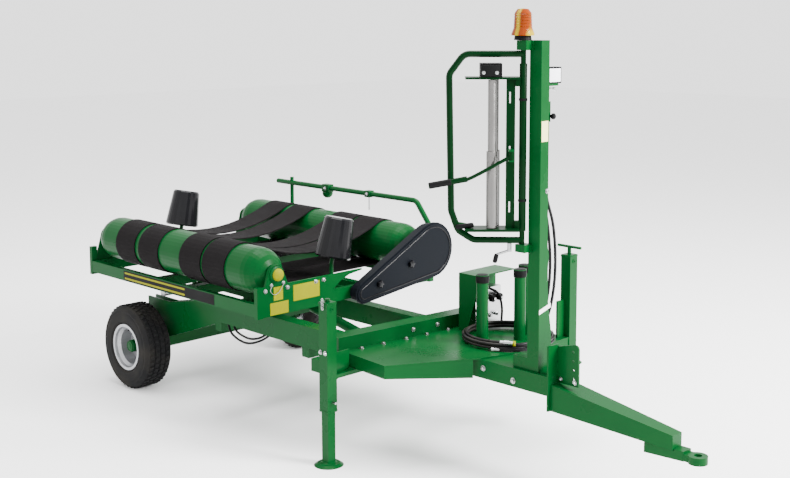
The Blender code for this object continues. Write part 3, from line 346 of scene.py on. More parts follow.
def surface(name, colour, rough=(0.3, 0.45), dust=0.3, metallic=0.0, coat=0.0, bump=0.15, bump_size=0.0004,
            patch=6.0, grain=0.0, sheen=0.0, dust_colour=(0.32, 0.28, 0.2), transmission=0.0,
            specular=0.12, base=None):
    """A weathered material; base may add its own colour and height before the weathering."""
    material = bpy.data.materials.new(name)
    material.use_nodes = True
    tree = material.node_tree
    tree.nodes.clear()
    shader = put(tree, "ShaderNodeBsdfPrincipled")
    shader.inputs["Metallic"].default_value = metallic
    shader.inputs["Specular IOR Level"].default_value = specular
    shader.inputs["Coat Weight"].default_value = coat
    shader.inputs["Coat Roughness"].default_value = 0.12
    shader.inputs["Sheen Weight"].default_value = sheen
    shader.inputs["Transmission Weight"].default_value = transmission
    wear = put(tree, "ShaderNodeGroup", node_tree=SHADE["weathering"])
    wear.inputs["Colour"].default_value = (*colour, 1.0)
    wear.inputs["Dust Colour"].default_value = (*dust_colour, 1.0)
    wear.inputs["Dust"].default_value = dust
    wear.inputs["Patch Size"].default_value = patch
    wear.inputs["Rough Low"].default_value = rough[0]
    wear.inputs["Rough High"].default_value = rough[1]
    height = wear.outputs["Height"]
    if grain:
        fine = put(tree, "ShaderNodeGroup", node_tree=SHADE["grain"])
        fine.inputs["Scale"].default_value = grain
        height = fine.outputs["Height"]
    if base:
        own_colour, own_height = base(tree)
        if own_colour:
            tree.links.new(own_colour, wear.inputs["Colour"])
        if own_height:
            height = own_height
    raised = put(tree, "ShaderNodeBump", in_0=bump)
    raised.inputs["Distance"].default_value = bump_size
    tree.links.new(height, raised.inputs["Height"])
    out = put(tree, "ShaderNodeOutputMaterial")
    tree.links.new(wear.outputs["Colour"], shader.inputs["Base Color"])
    tree.links.new(wear.outputs["Roughness"], shader.inputs["Roughness"])
    tree.links.new(raised.outputs["Normal"], shader.inputs["Normal"])
    tree.links.new(shader.outputs[0], out.inputs[0])
    MATERIALS[name] = material
    return material


def weave(tree):
    """Close lengthwise ribs and cross threads of an endless belt."""
    place = put(tree, "ShaderNodeTexCoord")
    ribs = put(tree, "ShaderNodeTexWave", [(0, place.outputs["Object"])], bands_direction="X", in_1=75.0)
    threads = put(tree, "ShaderNodeTexWave", [(0, place.outputs["Object"])], bands_direction="Y",
                  in_1=110.0)
    both = put(tree, "ShaderNodeMath", [(0, ribs.outputs["Fac"]), (1, threads.outputs["Fac"])],
               operation="ADD")
    colour = put(tree, "ShaderNodeMapRange", [(0, both.outputs[0])], in_1=0.0, in_2=2.0, in_3=0.85,
                 in_4=1.15)
    tone = put(tree, "ShaderNodeHueSaturation", in_4=(0.0055, 0.0046, 0.005, 1.0))
    tree.links.new(colour.outputs[0], tone.inputs["Value"])
    return tone.outputs[0], both.outputs[0]


def flutes(tree):
    """Upright flutes of an extruded aluminium roller."""
    place = put(tree, "ShaderNodeTexCoord")
    bands = put(tree, "ShaderNodeTexWave", [(0, place.outputs["Object"])], bands_direction="DIAGONAL",
                in_1=60.0)
    return None, bands.outputs["Fac"]


def painted_glint_streaks(tree):
    """Bright upright streaks of the reflector seen through the beacon's lens."""
    place = put(tree, "ShaderNodeTexCoord")
    streaks = put(tree, "ShaderNodeTexWave", [(0, place.outputs["Object"])], bands_direction="X", in_1=5.5)
    edge = put(tree, "ShaderNodeMapRange", [(0, streaks.outputs["Fac"])], in_1=0.45, in_2=0.95)
    tone = put(tree, "ShaderNodeMix", data_type="RGBA")
    tone.inputs[6].default_value = (0.17, 0.024, 0.0, 1.0)
    # Painted highlight colour of the streaks.
    tone.inputs[7].default_value = (0.34, 0.24, 0.0, 1.0)
    tree.links.new(edge.outputs[0], tone.inputs[0])
    return tone.outputs[2], None


def build_materials(look):
    build_groups()
    green = tuple(look.green)
    surface("green", green, rough=(0.24, 0.42), dust=0.01, coat=0.0, specular=0.07, bump=0.12,
            bump_size=0.0003, patch=4.0)
    # Painted shade: a darker copy of the body paint for the dispenser, its hinge sleeve and the roll lever,
    # which sit in shade.
    surface("green in painted shade", tuple(0.3 * part for part in green), rough=(0.24, 0.42), dust=0.01, coat=0.0,
            specular=0.04, bump=0.12,
            bump_size=0.0003, patch=4.0)
    surface("tyre", (0.008, 0.008, 0.0085), rough=(0.7, 0.9), dust=0.12, specular=0.1, bump=0.35,
            bump_size=0.0006, grain=160.0)
    surface("belt", (0.0055, 0.0046, 0.005), rough=(0.7, 0.88), dust=0.01, specular=0.06, bump=0.5,
            bump_size=0.0008, base=weave)
    surface("hose", (0.005, 0.005, 0.006), rough=(0.28, 0.42), dust=0.15, bump=0.3, bump_size=0.0003,
            grain=420.0)
    surface("silver", (0.36, 0.365, 0.38), rough=(0.3, 0.48), dust=0.1, metallic=0.85, bump=0.15)
    surface("black", (0.004, 0.004, 0.0043), rough=(0.42, 0.6), dust=0.01, specular=0.06, bump=0.25,
            grain=260.0)
    surface("gloss black", (0.005, 0.005, 0.006), rough=(0.07, 0.15), dust=0.03, coat=0.0, specular=0.14,
            bump=0.04)
    surface("slate", tuple(look.slate), rough=(0.38, 0.55), dust=0.0, specular=0.05, bump=0.3,
            bump_size=0.0004, grain=330.0)
    surface("aluminium", (0.17, 0.165, 0.16), rough=(0.2, 0.34), dust=0.05, metallic=1.0, bump=0.5,
            bump_size=0.0012, base=flutes)
    surface("zinc", (0.40, 0.405, 0.41), rough=(0.22, 0.38), dust=0.1, metallic=1.0, bump=0.2, grain=500.0)
    surface("yellow", (0.20, 0.20, 0.0), rough=(0.3, 0.45), dust=0.0, specular=0.04)
    surface("pale yellow", (0.78, 0.74, 0.30), rough=(0.4, 0.55), dust=0.1)
    surface("white", (0.80, 0.80, 0.80), rough=(0.4, 0.55), dust=0.12)
    # The beacon lens carries painted highlight streaks.
    surface("amber", (0.17, 0.024, 0.0), rough=(0.05, 0.12), dust=0.0, coat=0.05, bump=0.05, base=painted_glint_streaks)
    surface("lamp glass", (0.85, 0.87, 0.9), rough=(0.08, 0.15), dust=0.05, coat=0.6, bump=0.4, grain=90.0)


# The dispenser parts and the roll lever take the darker green, which is painted shade.
NODE_MATERIAL = {
    "tyre_": "tyre", "rim_": "silver", "belt_": "belt", "hose_coil": "hose", "dispenser_": "green in painted shade",
    "roll_tension_lever": "green in painted shade", "beacon_base": "black",
    "beacon_lens": "amber", "work_lamp": "black", "stretch_gearbox": "black", "cone_": "gloss black",
    "chain_cover": "slate", "stretch_roller_": "aluminium", "cylinder_rod": "zinc", "cylinder_pin": "zinc",
    "tipping_pin": "zinc", "height_crank": "zinc", "valve_block": "zinc",
}


def paint_nodes():
    for name, node in NODES.items():
        chosen = next((kind for start, kind in NODE_MATERIAL.items() if name.startswith(start)), "green")
        node.data.materials.clear()
        node.data.materials.append(MATERIALS[chosen])
        wake(node)
        bpy.ops.object.shade_smooth_by_angle(angle=math.radians(34.0))


# ---------------------------------------------------------------- pieces
def make_wheel(side, sign):
    body = "wheel_" + side
    centre = Vector((AXLE_X, sign * WHEEL_MIDDLE, WHEEL_RADIUS))
    axis = Vector((0.0, sign, 0.0))
    outer, half = WHEEL_RADIUS, TYRE_HALF
    bead = 0.1465
    crown = outer - 0.0065
    groove = crown - 0.0055
    profile = [(bead, -0.084), (bead + 0.014, -0.0845), (bead + 0.030, -half + 0.002),
               (outer - 0.075, -half + 0.001),
               (outer - 0.040, -half + 0.0035), (outer - 0.020, -0.090), (crown - 0.002, -0.079)]
    for middle in (-0.040, 0.0, 0.040):
        profile += [(crown, middle - 0.0045), (groove, middle - 0.003), (groove, middle + 0.003),
                    (crown, middle + 0.0045)]
    profile += [(crown - 0.002, 0.079), (outer - 0.020, 0.090), (outer - 0.036, half - 0.003),
                (outer - 0.050, half - 0.004), (outer - 0.056, half - 0.001), (outer - 0.075, half - 0.001),
                (bead + 0.030, half - 0.002), (bead + 0.014, 0.0845), (bead, 0.084)]
    carcass = lathe(profile, centre, axis, 72)
    block = slab((-0.0085, -0.0145, crown - 0.001), (0.0085, 0.0145, outer), 0.0015)
    count = 44
    parts = [carcass]
    turn_to = facing((0.0, 0.0, 0.0), axis)
    for row, middle in enumerate((-0.060, -0.020, 0.020, 0.060)):
        for k in range(count):
            angle = 2.0 * math.pi * (k + 0.5 * (row % 2)) / count
            skew = Matrix.Rotation(math.radians(18.0 if row in (0, 3) else -12.0), 4, "Z")
            spin = Matrix.Rotation(angle, 4, "Z") @ Matrix.Rotation(math.radians(90.0), 4, "Y")
            place = Matrix.Translation(centre) @ turn_to @ Matrix.Translation((0.0, 0.0, middle)) @ spin
            parts.append(copied(block, place @ Matrix.Rotation(math.radians(90.0), 4, "Z") @ skew))
    bpy.data.objects.remove(block, do_unlink=True)
    tyre = joined(parts)
    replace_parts(finished(tyre, "tread_tyre_" + side, body, "tyre", 30.0), "tyre_" + side)

    face = centre + axis * -0.0255
    studs = []
    for k in range(5):
        angle = math.radians(72.0 * k + 20.0)
        studs.append(face + Vector((0.088 * math.cos(angle), 0.0, 0.088 * math.sin(angle))))
    nuts = bolts(studs, axis, 0.0115)
    finished(nuts, "wheel_nuts_" + side, body, "zinc")
    cap = lathe([(0.0, 0.0625), (0.022, 0.0625), (0.030, 0.058), (0.030, 0.0625), (0.033, 0.0635),
                 (0.036, 0.061), (0.036, 0.055), (0.0, 0.055)], centre, axis, 28)
    finished(cap, "hub_cap_" + side, body, "green")
    valve = pipe([centre + axis * 0.045 + Vector((0.0, 0.0, 0.120)),
                  centre + axis * 0.072 + Vector((0.0, 0.0, 0.112))],
                 0.004, smooth=False)
    finished(valve, "tyre_valve_" + side, body, "black")


def make_trim():
    """Blank plates, stripes and bands on the turntable and mast."""
    side = -TABLE_SIDE - 0.0012
    band = slab((AXLE_X - 0.084, side, RAIL_LOW + 0.006),
                (AXLE_X + 0.960, side + 0.0008, RAIL_HIGH - 0.006), 0.0)
    finished(band, "rail_band", "turntable", "black")
    stripes = [slab((AXLE_X - 0.070, side - 0.0006, low), (AXLE_X + 0.640, side + 0.0001, low + 0.012), 0.0)
               for low in (RAIL_LOW + 0.014, RAIL_HIGH - 0.028)]
    finished(joined(stripes), "rail_stripes", "turntable", "yellow")
    face = TABLE_FRONT - 0.0006
    plates = [((-0.632, 0.812), (-0.562, 0.895)), ((-0.660, 0.724), (-0.520, 0.800)),
              ((-0.480, 0.785), (-0.270, 0.885))]
    made = [slab((face, a[0], a[1]), (face + 0.0012, b[0], b[1]), 0.0) for a, b in plates]
    finished(joined(made), "end_plate_labels", "turntable", "yellow")
    panel = slab((MAST_FRONT + 0.0002, MAST_RIGHT + 0.006, 1.855),
                 (MAST_FRONT + 0.0014, MAST_LEFT - 0.008, 1.965), 0.0)
    finished(panel, "mast_label", "chassis", "pale yellow")
    tape = prism([(MAST_FRONT + 0.0003, MAST_RIGHT + 0.001, 0.915),
                  (MAST_FRONT + 0.0003, MAST_LEFT + 0.030, 0.942),
                  (MAST_FRONT + 0.0003, MAST_LEFT + 0.030, 0.966),
                  (MAST_FRONT + 0.0003, MAST_RIGHT + 0.001, 0.940)],
                 (0.0014, 0.0, 0.0))
    finished(tape, "mast_band", "chassis", "white")


def make_bolts():
    deck, face = [], []
    for y in (-0.46, -0.30, -0.13, 0.03, 0.20):
        deck.append(Vector((CROSS_X + CROSS_SKEW * y + 0.028, y, DECK_Z)))
    for y in (-0.05, 0.14, 0.40):
        face.append(Vector((CROSS_X + CROSS_SKEW * y, y, 0.640)))
    rows = [bolts(deck, (0, 0, 1), 0.0115), bolts(face, (1, -CROSS_SKEW, 0), 0.0115),
            bolts([at(2.640, -0.1203, 0.545), at(2.860, -0.1203, 0.520)], (0, -1, 0), 0.0125),
            bolts([at(3.1125, -0.060, 0.425), at(3.1125, -0.060, 0.455)], (1, 0, 0), 0.011),
            bolts([at(3.225, -0.0425, 0.570), at(3.130, -0.0425, 0.570)], (0, -1, 0), 0.010),
            bolts([at(3.0201, MAST_LEFT - 0.012, 1.586)], (1, 0, 0), 0.010),
            bolts([at(2.03, -0.8021, 0.655), at(2.07, -0.8021, 0.655)], (0, -1, 0), 0.010)]
    finished(joined(rows), "frame_bolts", "chassis", "zinc")
    ends = []
    for y in (-ROLLER_Y - 0.085, -ROLLER_Y + 0.085, -0.300, -0.235):
        ends.append(Vector((TABLE_FRONT - 0.0008, y, 0.880)))
    ends += [Vector((TABLE_FRONT - 0.0008, -ROLLER_Y - 0.036, ROLLER_Z)),
             Vector((TABLE_FRONT - 0.0008, -ROLLER_Y + 0.036, ROLLER_Z))]
    finished(bolts(ends, (1, 0, 0), 0.0105), "end_plate_bolts", "turntable", "zinc")


def bearing(x, side, way, cap):
    """A round flange on the end plate, with a domed cap or a nut over the shaft."""
    spot = (x, side * ROLLER_Y, ROLLER_Z)
    axis = (way, 0.0, 0.0)
    ring = lathe([(0.023, 0.0), (0.052, 0.0), (0.052, 0.008), (0.042, 0.014), (0.023, 0.014)], spot, axis,
                 28)
    if not cap:
        return ring, None
    dome = [(0.038 * math.cos(math.radians(a)),
             0.020 + 0.022 * math.sin(math.radians(a))) for a in range(90, -1, -15)]
    dome = [(max(0.0, radius), height) for radius, height in dome]
    return ring, lathe(dome + [(0.038, 0.014), (0.0, 0.014)], spot, axis, 32)


def make_bearings():
    rings, rear_caps = [], []
    for side in (-1.0, 1.0):
        ring, cap = bearing(TABLE_FRONT - 0.0008, side, 1.0, side < 0.0)
        rings.append(ring)
        if cap:
            finished(cap, "bearing_cap_front", "turntable", "yellow")
        ring, cap = bearing(AXLE_X - 0.5245, side, -1.0, True)
        rings.append(ring)
        rear_caps.append(cap)
    finished(joined(rear_caps), "bearing_caps_rear", "turntable", "yellow")
    finished(joined(rings), "bearing_housings", "turntable", "green")


def make_cover_bead():
    """A raised bead just inside the edge of the chain cover's face."""
    (big_y, big_z, big), (small_y, small_z, small) = COVER_BIG, COVER_SMALL
    across, rise = small_y - big_y, small_z - big_z
    heading = math.atan2(rise, across)
    spread = math.acos((big - small) / math.hypot(across, rise))
    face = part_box("chain_cover")[1].x + 0.0006
    route = []
    for k in range(33):
        angle = heading + spread + (2.0 * math.pi - 2.0 * spread) * k / 32.0
        reach = big - COVER_BEAD
        route.append((face, big_y + reach * math.cos(angle), big_z + reach * math.sin(angle)))
    for k in range(17):
        angle = heading - spread + 2.0 * spread * k / 16.0
        reach = small - COVER_BEAD
        route.append((face, small_y + reach * math.cos(angle), small_z + reach * math.sin(angle)))
    bead = pipe(route + route[:1], 0.0045, smooth=False, sides=2)
    finished(bead, "cover_bead", "turntable", "gloss black", 60.0)


def make_bearing_wire():
    """A tie wire looped between the nuts beside the front right bearing."""
    y = -ROLLER_Y
    face = TABLE_FRONT + 0.0004
    nuts = [Vector((face, y - 0.040, ROLLER_Z - 0.062)), Vector((face, y + 0.052, ROLLER_Z - 0.058))]
    heads = bolts(nuts, (1.0, 0.0, 0.0), 0.0085)
    lead = 0.0085
    route = [nuts[0] + Vector((lead, 0.0, 0.0)), nuts[0] + Vector((lead + 0.006, -0.018, -0.030)),
             nuts[0] + Vector((lead + 0.004, 0.014, -0.058)),
             nuts[0] + Vector((lead + 0.006, 0.052, -0.040)),
             nuts[1] + Vector((lead, 0.0, 0.0))]
    wire = pipe(route, 0.0022)
    finished(joined([heads, wire]), "bearing_wire", "turntable", "zinc")


def make_cover_knobs():
    knobs = []
    for y, z in ((0.445, 0.895), (0.160, 0.805)):
        points = []
        for k in range(40):
            angle = 2.0 * math.pi * k / 40.0
            radius = 0.021 + 0.0045 * math.cos(5.0 * angle)
            points.append((TABLE_FRONT + 0.090, y + radius * math.cos(angle), z + radius * math.sin(angle)))
        knobs.append(prism(points, (0.020, 0.0, 0.0), 0.004))
        knobs.append(lathe([(0.0, 0.0), (0.011, 0.0), (0.011, 0.012), (0.0, 0.012)],
                           (TABLE_FRONT + 0.0898, y, z), (1, 0, 0), 18))
    finished(joined(knobs), "cover_knobs", "turntable", "gloss black")


def make_post_caps():
    caps = []
    for name in ("film_post_1", "film_post_2", "film_post_3"):
        low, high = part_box(name)
        middle = Vector(((low.x + high.x) / 2.0, (low.y + high.y) / 2.0, high.z))
        wide = (high.x - low.x) / 2.0 + 0.0006
        caps.append(lathe([(0.0, 0.002), (wide - 0.008, 0.002), (wide - 0.002, -0.001), (wide, -0.006),
                           (wide, -0.044), (wide - 0.001, -0.046), (0.0, -0.046)], middle, steps=36))
    finished(joined(caps), "film_post_caps", "chassis", "black", 40.0)


def make_hoses():
    """The coiled hose on the deck, its couplers, and the short fixed hoses."""
    low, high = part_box("hose_coil")
    centre = Vector(((low.x + high.x) / 2.0, (low.y + high.y) / 2.0, 0.0))
    radius = (high.x - low.x) / 2.0 - HOSE / 2.0 - 0.001
    path = []
    turns, per_turn = HOSE_TURNS, HOSE_POINTS
    for k in range(int(turns * per_turn) + 1):
        share = k / per_turn
        angle = math.radians(-60.0) + 2.0 * math.pi * share
        within = share / turns
        wide = radius - (0.0195 if int(share) % 2 else 0.0)
        height = low.z + HOSE / 2.0 + 0.0005 + (high.z - low.z - HOSE - 0.001) * within
        step = 0.5 - 0.5 * math.cos(math.pi * min(1.0, (share % 1.0) * 6.0))
        last = radius - (0.0195 if (int(share) - 1) % 2 else 0.0) if share >= 1.0 else wide
        reach = last + (wide - last) * step
        path.append(centre + Vector((reach * math.cos(angle), reach * math.sin(angle), height)))
    coil = curve_of(path, HOSE / 2.0, 4)
    coil.name = "hose_run"
    coil.data.name = "hose_run"
    coil.data.materials.append(MATERIALS["hose"])
    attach(coil, "chassis")
    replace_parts(coil, "hose_coil")
    along = (path[-1] - path[-2]).normalized()
    end = path[-1]
    coupler = lathe([(0.0, 0.0), (0.0105, 0.0), (0.0105, 0.022), (0.0135, 0.024), (0.0135, 0.060),
                     (0.0118, 0.064), (0.0118, 0.078), (0.0, 0.078)], end + along * 0.0003, along, 22)
    finished(coupler, "hose_coupler", "chassis", "zinc")
    clip = lathe([(0.0118, 0.079), (0.0148, 0.079), (0.0148, 0.090), (0.0, 0.090), (0.0, 0.0785),
                  (0.0118, 0.0785)], end + along * 0.0003, along, 22)
    finished(clip, "coupler_cap", "chassis", "yellow")
    start_way = (path[0] - path[1]).normalized()
    elbow = lathe([(0.0, 0.0), (0.012, 0.0), (0.012, 0.030), (0.0145, 0.031), (0.0145, 0.046),
                   (0.0, 0.046)],
                  path[0] + start_way * 0.0003, start_way, 20)
    finished(elbow, "hose_fitting", "chassis", "zinc")
    ties = []
    for angle in (40.0, 160.0, 285.0):
        spot = centre + Vector(((radius - 0.010) * math.cos(math.radians(angle)),
                                (radius - 0.010) * math.sin(math.radians(angle)), low.z))
        way = (spot - centre).normalized()
        way.z = 0.0
        low_z, high_z = low.z + 0.0005, high.z + 0.001
        ties.append(pipe([spot - way * 0.022 + UP * 0.001, spot - way * 0.022 + UP * (high_z - low_z),
                          spot + way * 0.021 + UP * (high_z - low_z),
                          spot + way * 0.021 + UP * 0.001], 0.0018, smooth=False))
    finished(joined(ties), "hose_ties", "chassis", "black")

    runs = [
        pipe([at(2.990, -0.029, 1.90), at(2.985, -0.015, 1.60), at(2.985, 0.060, 1.38),
              at(2.975, 0.095, 1.15),
              at(2.960, 0.085, 0.95), at(2.940, 0.030, 0.78), at(2.900, 0.0, 0.640)], 0.0085),
        pipe([at(2.970, -0.029, 1.90), at(2.965, -0.012, 1.60), at(2.962, 0.045, 1.36),
              at(2.955, 0.075, 1.15),
              at(2.940, 0.066, 0.95), at(2.915, 0.015, 0.78), at(2.880, -0.010, 0.640)], 0.0085),
        pipe([at(0.800, -0.540, 0.556), at(0.900, -0.575, 0.500), at(1.060, -0.590, 0.478),
              at(1.180, -0.575, 0.510),
              at(1.250, -0.540, 0.558)], 0.0075),
        pipe([at(0.845, -0.530, 0.556), at(0.930, -0.560, 0.520), at(1.060, -0.570, 0.504),
              at(1.150, -0.560, 0.520),
              at(1.210, -0.530, 0.556)], 0.0075),
        pipe([at(2.125, 0.310, 0.880), at(2.190, 0.268, 0.865), at(2.230, 0.275, 0.800),
              at(2.215, 0.330, 0.720),
              at(2.150, 0.400, 0.680)], 0.0080),
        pipe([at(2.200, 0.420, 0.850), at(2.250, 0.450, 0.820), at(2.265, 0.470, 0.740),
              at(2.255, 0.480, 0.625)], 0.0080),
    ]
    finished(joined(runs), "fixed_hoses", "chassis", "hose", 50.0)


def make_valve():
    low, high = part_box("valve_block")
    parts = []
    for k in range(3):
        y = low.y + 0.045 + 0.068 * k
        spot = (high.x, y, high.z - 0.060)
        parts.append(lathe([(0.0, 0.0), (0.021, 0.0), (0.023, 0.004), (0.023, 0.048), (0.018, 0.052),
                            (0.0, 0.052)], spot, (1, 0, 0), 24))
    finished(joined(parts), "valve_coils", "chassis", "black")
    fittings = []
    for k in range(3):
        y = low.y + 0.045 + 0.068 * k
        fittings.append(lathe([(0.0, 0.0), (0.013, 0.0), (0.013, 0.020), (0.010, 0.022), (0.010, 0.034),
                               (0.0, 0.034)],
                              (high.x, y, low.z + 0.080), (1, 0, 0), 6))
        fittings.append(lathe([(0.0, 0.0), (0.008, 0.0), (0.008, 0.010), (0.0, 0.010)],
                              (high.x + 0.052, y, high.z - 0.060), (1, 0, 0), 18))
    finished(joined(fittings), "valve_fittings", "chassis", "zinc")


def make_beacon_and_lamp():
    low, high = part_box("beacon_lens")
    middle = Vector(((low.x + high.x) / 2.0, (low.y + high.y) / 2.0, low.z))
    rings = [lathe([(0.0495, z), (0.0515, z + 0.0015), (0.0495, z + 0.003)], middle,
                   steps=40) for z in (0.045, 0.062, 0.079, 0.096, 0.110)]
    finished(joined(rings), "beacon_rings", "chassis", "amber")
    low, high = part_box("work_lamp")
    face = high.x
    glass = slab((face, low.y + 0.008, low.z + 0.008), (face + 0.0025, high.y - 0.008, high.z - 0.008),
                 0.001)
    finished(glass, "work_lamp_glass", "chassis", "lamp glass")
    rods = [pipe([at(2.985, 0.010, 2.135), at(2.985, 0.070, 2.120)], 0.005, smooth=False)]
    rods.append(bolts([at(2.985, 0.018, 2.140), at(2.985, 0.050, 2.140)], (0, 0, -1), 0.008))
    finished(joined(rods), "work_lamp_bolts", "chassis", "zinc")
    knob = lathe([(0.0, 0.0), (0.008, 0.0), (0.008, 0.010), (0.016, 0.014), (0.017, 0.026), (0.012, 0.032),
                  (0.0, 0.032)],
                 at(2.985, 0.019, 1.985), (1, 0.2, 0), 24)
    finished(knob, "mast_knob", "chassis", "black")


def make_dispenser_trim():
    body = "dispenser_arm"
    handle = [pipe([on_arm(0.260, 1.398), on_arm(0.300, 1.404), on_arm(0.345, 1.412)], 0.007)]
    finished(joined(handle), "latch_stem", body, "green")
    grip = lathe([(0.0, 0.0), (0.012, 0.001), (0.0145, 0.012), (0.0135, 0.050), (0.0145, 0.085),
                  (0.010, 0.098), (0.0, 0.100)],
                 on_arm(0.262, 1.404, 0.02), OUTWARD * 1.0 + UP * -0.12, 20)
    finished(grip, "latch_grip", body, "black")
    tip = lathe([(0.0, 0.0), (0.011, 0.001), (0.013, 0.010), (0.013, 0.042), (0.009, 0.050), (0.0, 0.051)],
                on_arm(0.135, 1.242), UP * -1.0 + OUTWARD * 0.25, 20)
    finished(tip, "crank_grip", body, "black")
    ridge = [slab((0, 0, 0), (0.1, 0.012, 0.060), 0.002)]
    ridge[0].data.transform(facing(on_arm(0.130, 2.206, 0.067),
                                   (0, 0, 1)) @ Matrix.Rotation(math.atan2(OUTWARD.y, OUTWARD.x), 4, "Z"))
    finished(joined(ridge), "gearbox_plate", body, "black")
    low, high = SLEEVE_LOW, SLEEVE_HIGH
    inner, outer = SLEEVE_BORE, SLEEVE_RADIUS
    sleeve = lathe([(inner, 0.0), (outer - 0.002, 0.0), (outer, 0.003), (outer, high - low - 0.003),
                    (outer - 0.002, high - low), (inner, high - low)], on_arm(0.0, low), steps=28)
    # Painted shade: the sleeve takes the darkened copy of the body green.
    finished(sleeve, "hinge_sleeve", body, "green in painted shade")
    collars = [lathe([(outer - 0.001, 0.0), (outer + 0.003, 0.001), (outer + 0.003, 0.013),
                      (outer - 0.001, 0.014)],
                     on_arm(0.0, height), steps=28) for height in (low + 0.16, high - 0.20)]
    finished(joined(collars), "hinge_collars", body, "black")
    screws = bolts([on_arm(0.145, 2.225, 0.0795), on_arm(0.215, 2.225, 0.0795)], ACROSS, 0.007)
    finished(screws, "gearbox_bolts", body, "zinc")
    grip_low = on_arm(0.385, 1.6465, 0.082)
    sleeve = lathe([(0.0158, 0.0), (0.0175, 0.002), (0.0175, 0.116), (0.012, 0.122), (0.0, 0.122),
                    (0.0, 0.120), (0.0158, 0.118)],
                   grip_low, on_arm(0.505, 1.625, 0.082) - on_arm(0.300, 1.662, 0.082), 24)
    finished(sleeve, "roll_lever_grip", "roll_lever", "black")


def make_jack_trim():
    parts = []
    for name, way in (("jack_sleeve_right", 1.0), ("jack_sleeve_left", 1.0)):
        low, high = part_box(name)
        spot = Vector((high.x, (low.y + high.y) / 2.0, high.z - 0.040))
        parts.append(lathe([(0.006, 0.0), (0.012, 0.0), (0.012, 0.0035), (0.006, 0.0035)], spot, (1, 0, 0),
                           20))
        for z in (high.z - 0.012, low.z + 0.004):
            parts.append(slab((low.x - 0.002, low.y - 0.002, z),
                              (high.x + 0.002, high.y + 0.002, z + 0.008), 0.001))
    finished(joined(parts), "jack_bands", "chassis", "green")
    low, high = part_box("jack_sleeve_right")
    pin = pipe([(low.x - 0.022, (low.y + high.y) / 2.0, low.z + 0.060),
                (high.x + 0.030, (low.y + high.y) / 2.0, low.z + 0.060)], 0.007, smooth=False)
    finished(pin, "jack_pin", "chassis", "zinc")
    gusset = prism([at(2.045, -0.7318, 0.640), at(2.045, -0.610, 0.640), at(2.045, -0.610, 0.530),
                    at(2.045, -0.7318, 0.465)],
                   (0.008, 0.0, 0.0), 0.001)
    finished(gusset, "jack_gusset", "chassis", "green")
    links = []
    top = Vector((high.x - 0.030, low.y - 0.004, high.z + 0.018))
    for k in range(5):
        way = (1, 0, 0) if k % 2 else (0, 1, 0)
        ring = [(0.0075 + 0.0022 * math.cos(a),
                 0.0022 * math.sin(a)) for a in (i * math.pi / 3.0 for i in range(6))]
        links.append(lathe(ring, top + UP * (-0.0125 * k) + Vector((0.0, -0.0035, 0.0)), way, 16))
    finished(joined(links), "jack_pin_chain", "chassis", "zinc")


def make_bar_trim():
    y = TABLE_SIDE + 0.034
    clamp = [slab(at(0.220, y - 0.026, 1.216), at(0.300, y + 0.026, 1.274), 0.004),
             slab(at(0.690, y - 0.024, 1.224), at(0.745, y + 0.024, 1.272), 0.003)]
    finished(joined(clamp), "bar_clamps", "turntable", "green")
    domed = lathe([(0.0, 0.034), (0.018, 0.031), (0.034, 0.018), (0.040, 0.0), (0.040, -0.010),
                   (0.0, -0.010)], at(0.260, y, 1.204), (0, 0, -1), 28)
    finished(domed, "bar_bump_stop", "turntable", "green")
    pins = [pipe([at(0.718, y, 1.222), at(0.718, y, 1.130)], 0.005, smooth=False),
            bolts([at(0.260, y - 0.026, 1.245), at(0.718, y - 0.024, 1.248)], (0, -1, 0), 0.010)]
    finished(joined(pins), "bar_clamp_bolts", "turntable", "zinc")


# ---------------------------------------------------------------- stage
def make_stage(look):
    calm()
    bpy.ops.mesh.primitive_plane_add(size=60.0, location=(0.0, 0.0, -0.0005))
    floor = bpy.context.object
    floor.name = "floor"
    floor.data.transform(Matrix.Translation((0.0, 0.0, -0.0005)))
    floor.location = (0.0, 0.0, 0.0)
    material = bpy.data.materials.new("floor")
    material.use_nodes = True
    material.node_tree.nodes["Principled BSDF"].inputs["Base Color"].default_value = (0.95, 0.95, 0.95, 1.0)
    material.node_tree.nodes["Principled BSDF"].inputs["Roughness"].default_value = 0.9
    floor.data.materials.append(material)

    world = bpy.data.worlds.new("studio")
    bpy.context.scene.world = world
    world.use_nodes = True
    world.node_tree.nodes["Background"].inputs[0].default_value = (1.0, 1.0, 1.0, 1.0)
    world.node_tree.nodes["Background"].inputs[1].default_value = look.sky

    def panel(name, place, aim, size, power, tint=(1.0, 1.0, 1.0)):
        data = bpy.data.lights.new(name, "AREA")
        data.energy = power
        data.size = size
        data.color = tint
        lamp = bpy.data.objects.new(name, data)
        lamp.location = place
        lamp.rotation_euler = (Vector(aim) - Vector(place)).to_track_quat("-Z", "Y").to_euler()
        bpy.context.scene.collection.objects.link(lamp)

    panel("front key", (7.5, 3.0, 5.5), (0.3, 0.0, 0.8), 3.0, look.key)
    panel("top soft", (-1.0, 0.5, 7.5), (0.0, 0.0, 0.5), 5.0, look.key * 0.28)
    panel("right fill", (1.5, -7.5, 2.5), (0.0, 0.0, 0.9), 4.0, look.key * 0.01)

    camera = bpy.data.cameras.new("camera")
    camera.sensor_width = 36.0
    camera.lens = 54.68
    camera.shift_x = -0.0370
    camera.shift_y = -0.1107
    stand = bpy.data.objects.new("camera", camera)
    stand.location = (7.031 + AXLE_X, -5.063, 2.510)
    stand.rotation_euler = (math.radians(83.664), 0.0, math.radians(44.516))
    bpy.context.scene.collection.objects.link(stand)
    bpy.context.scene.camera = stand


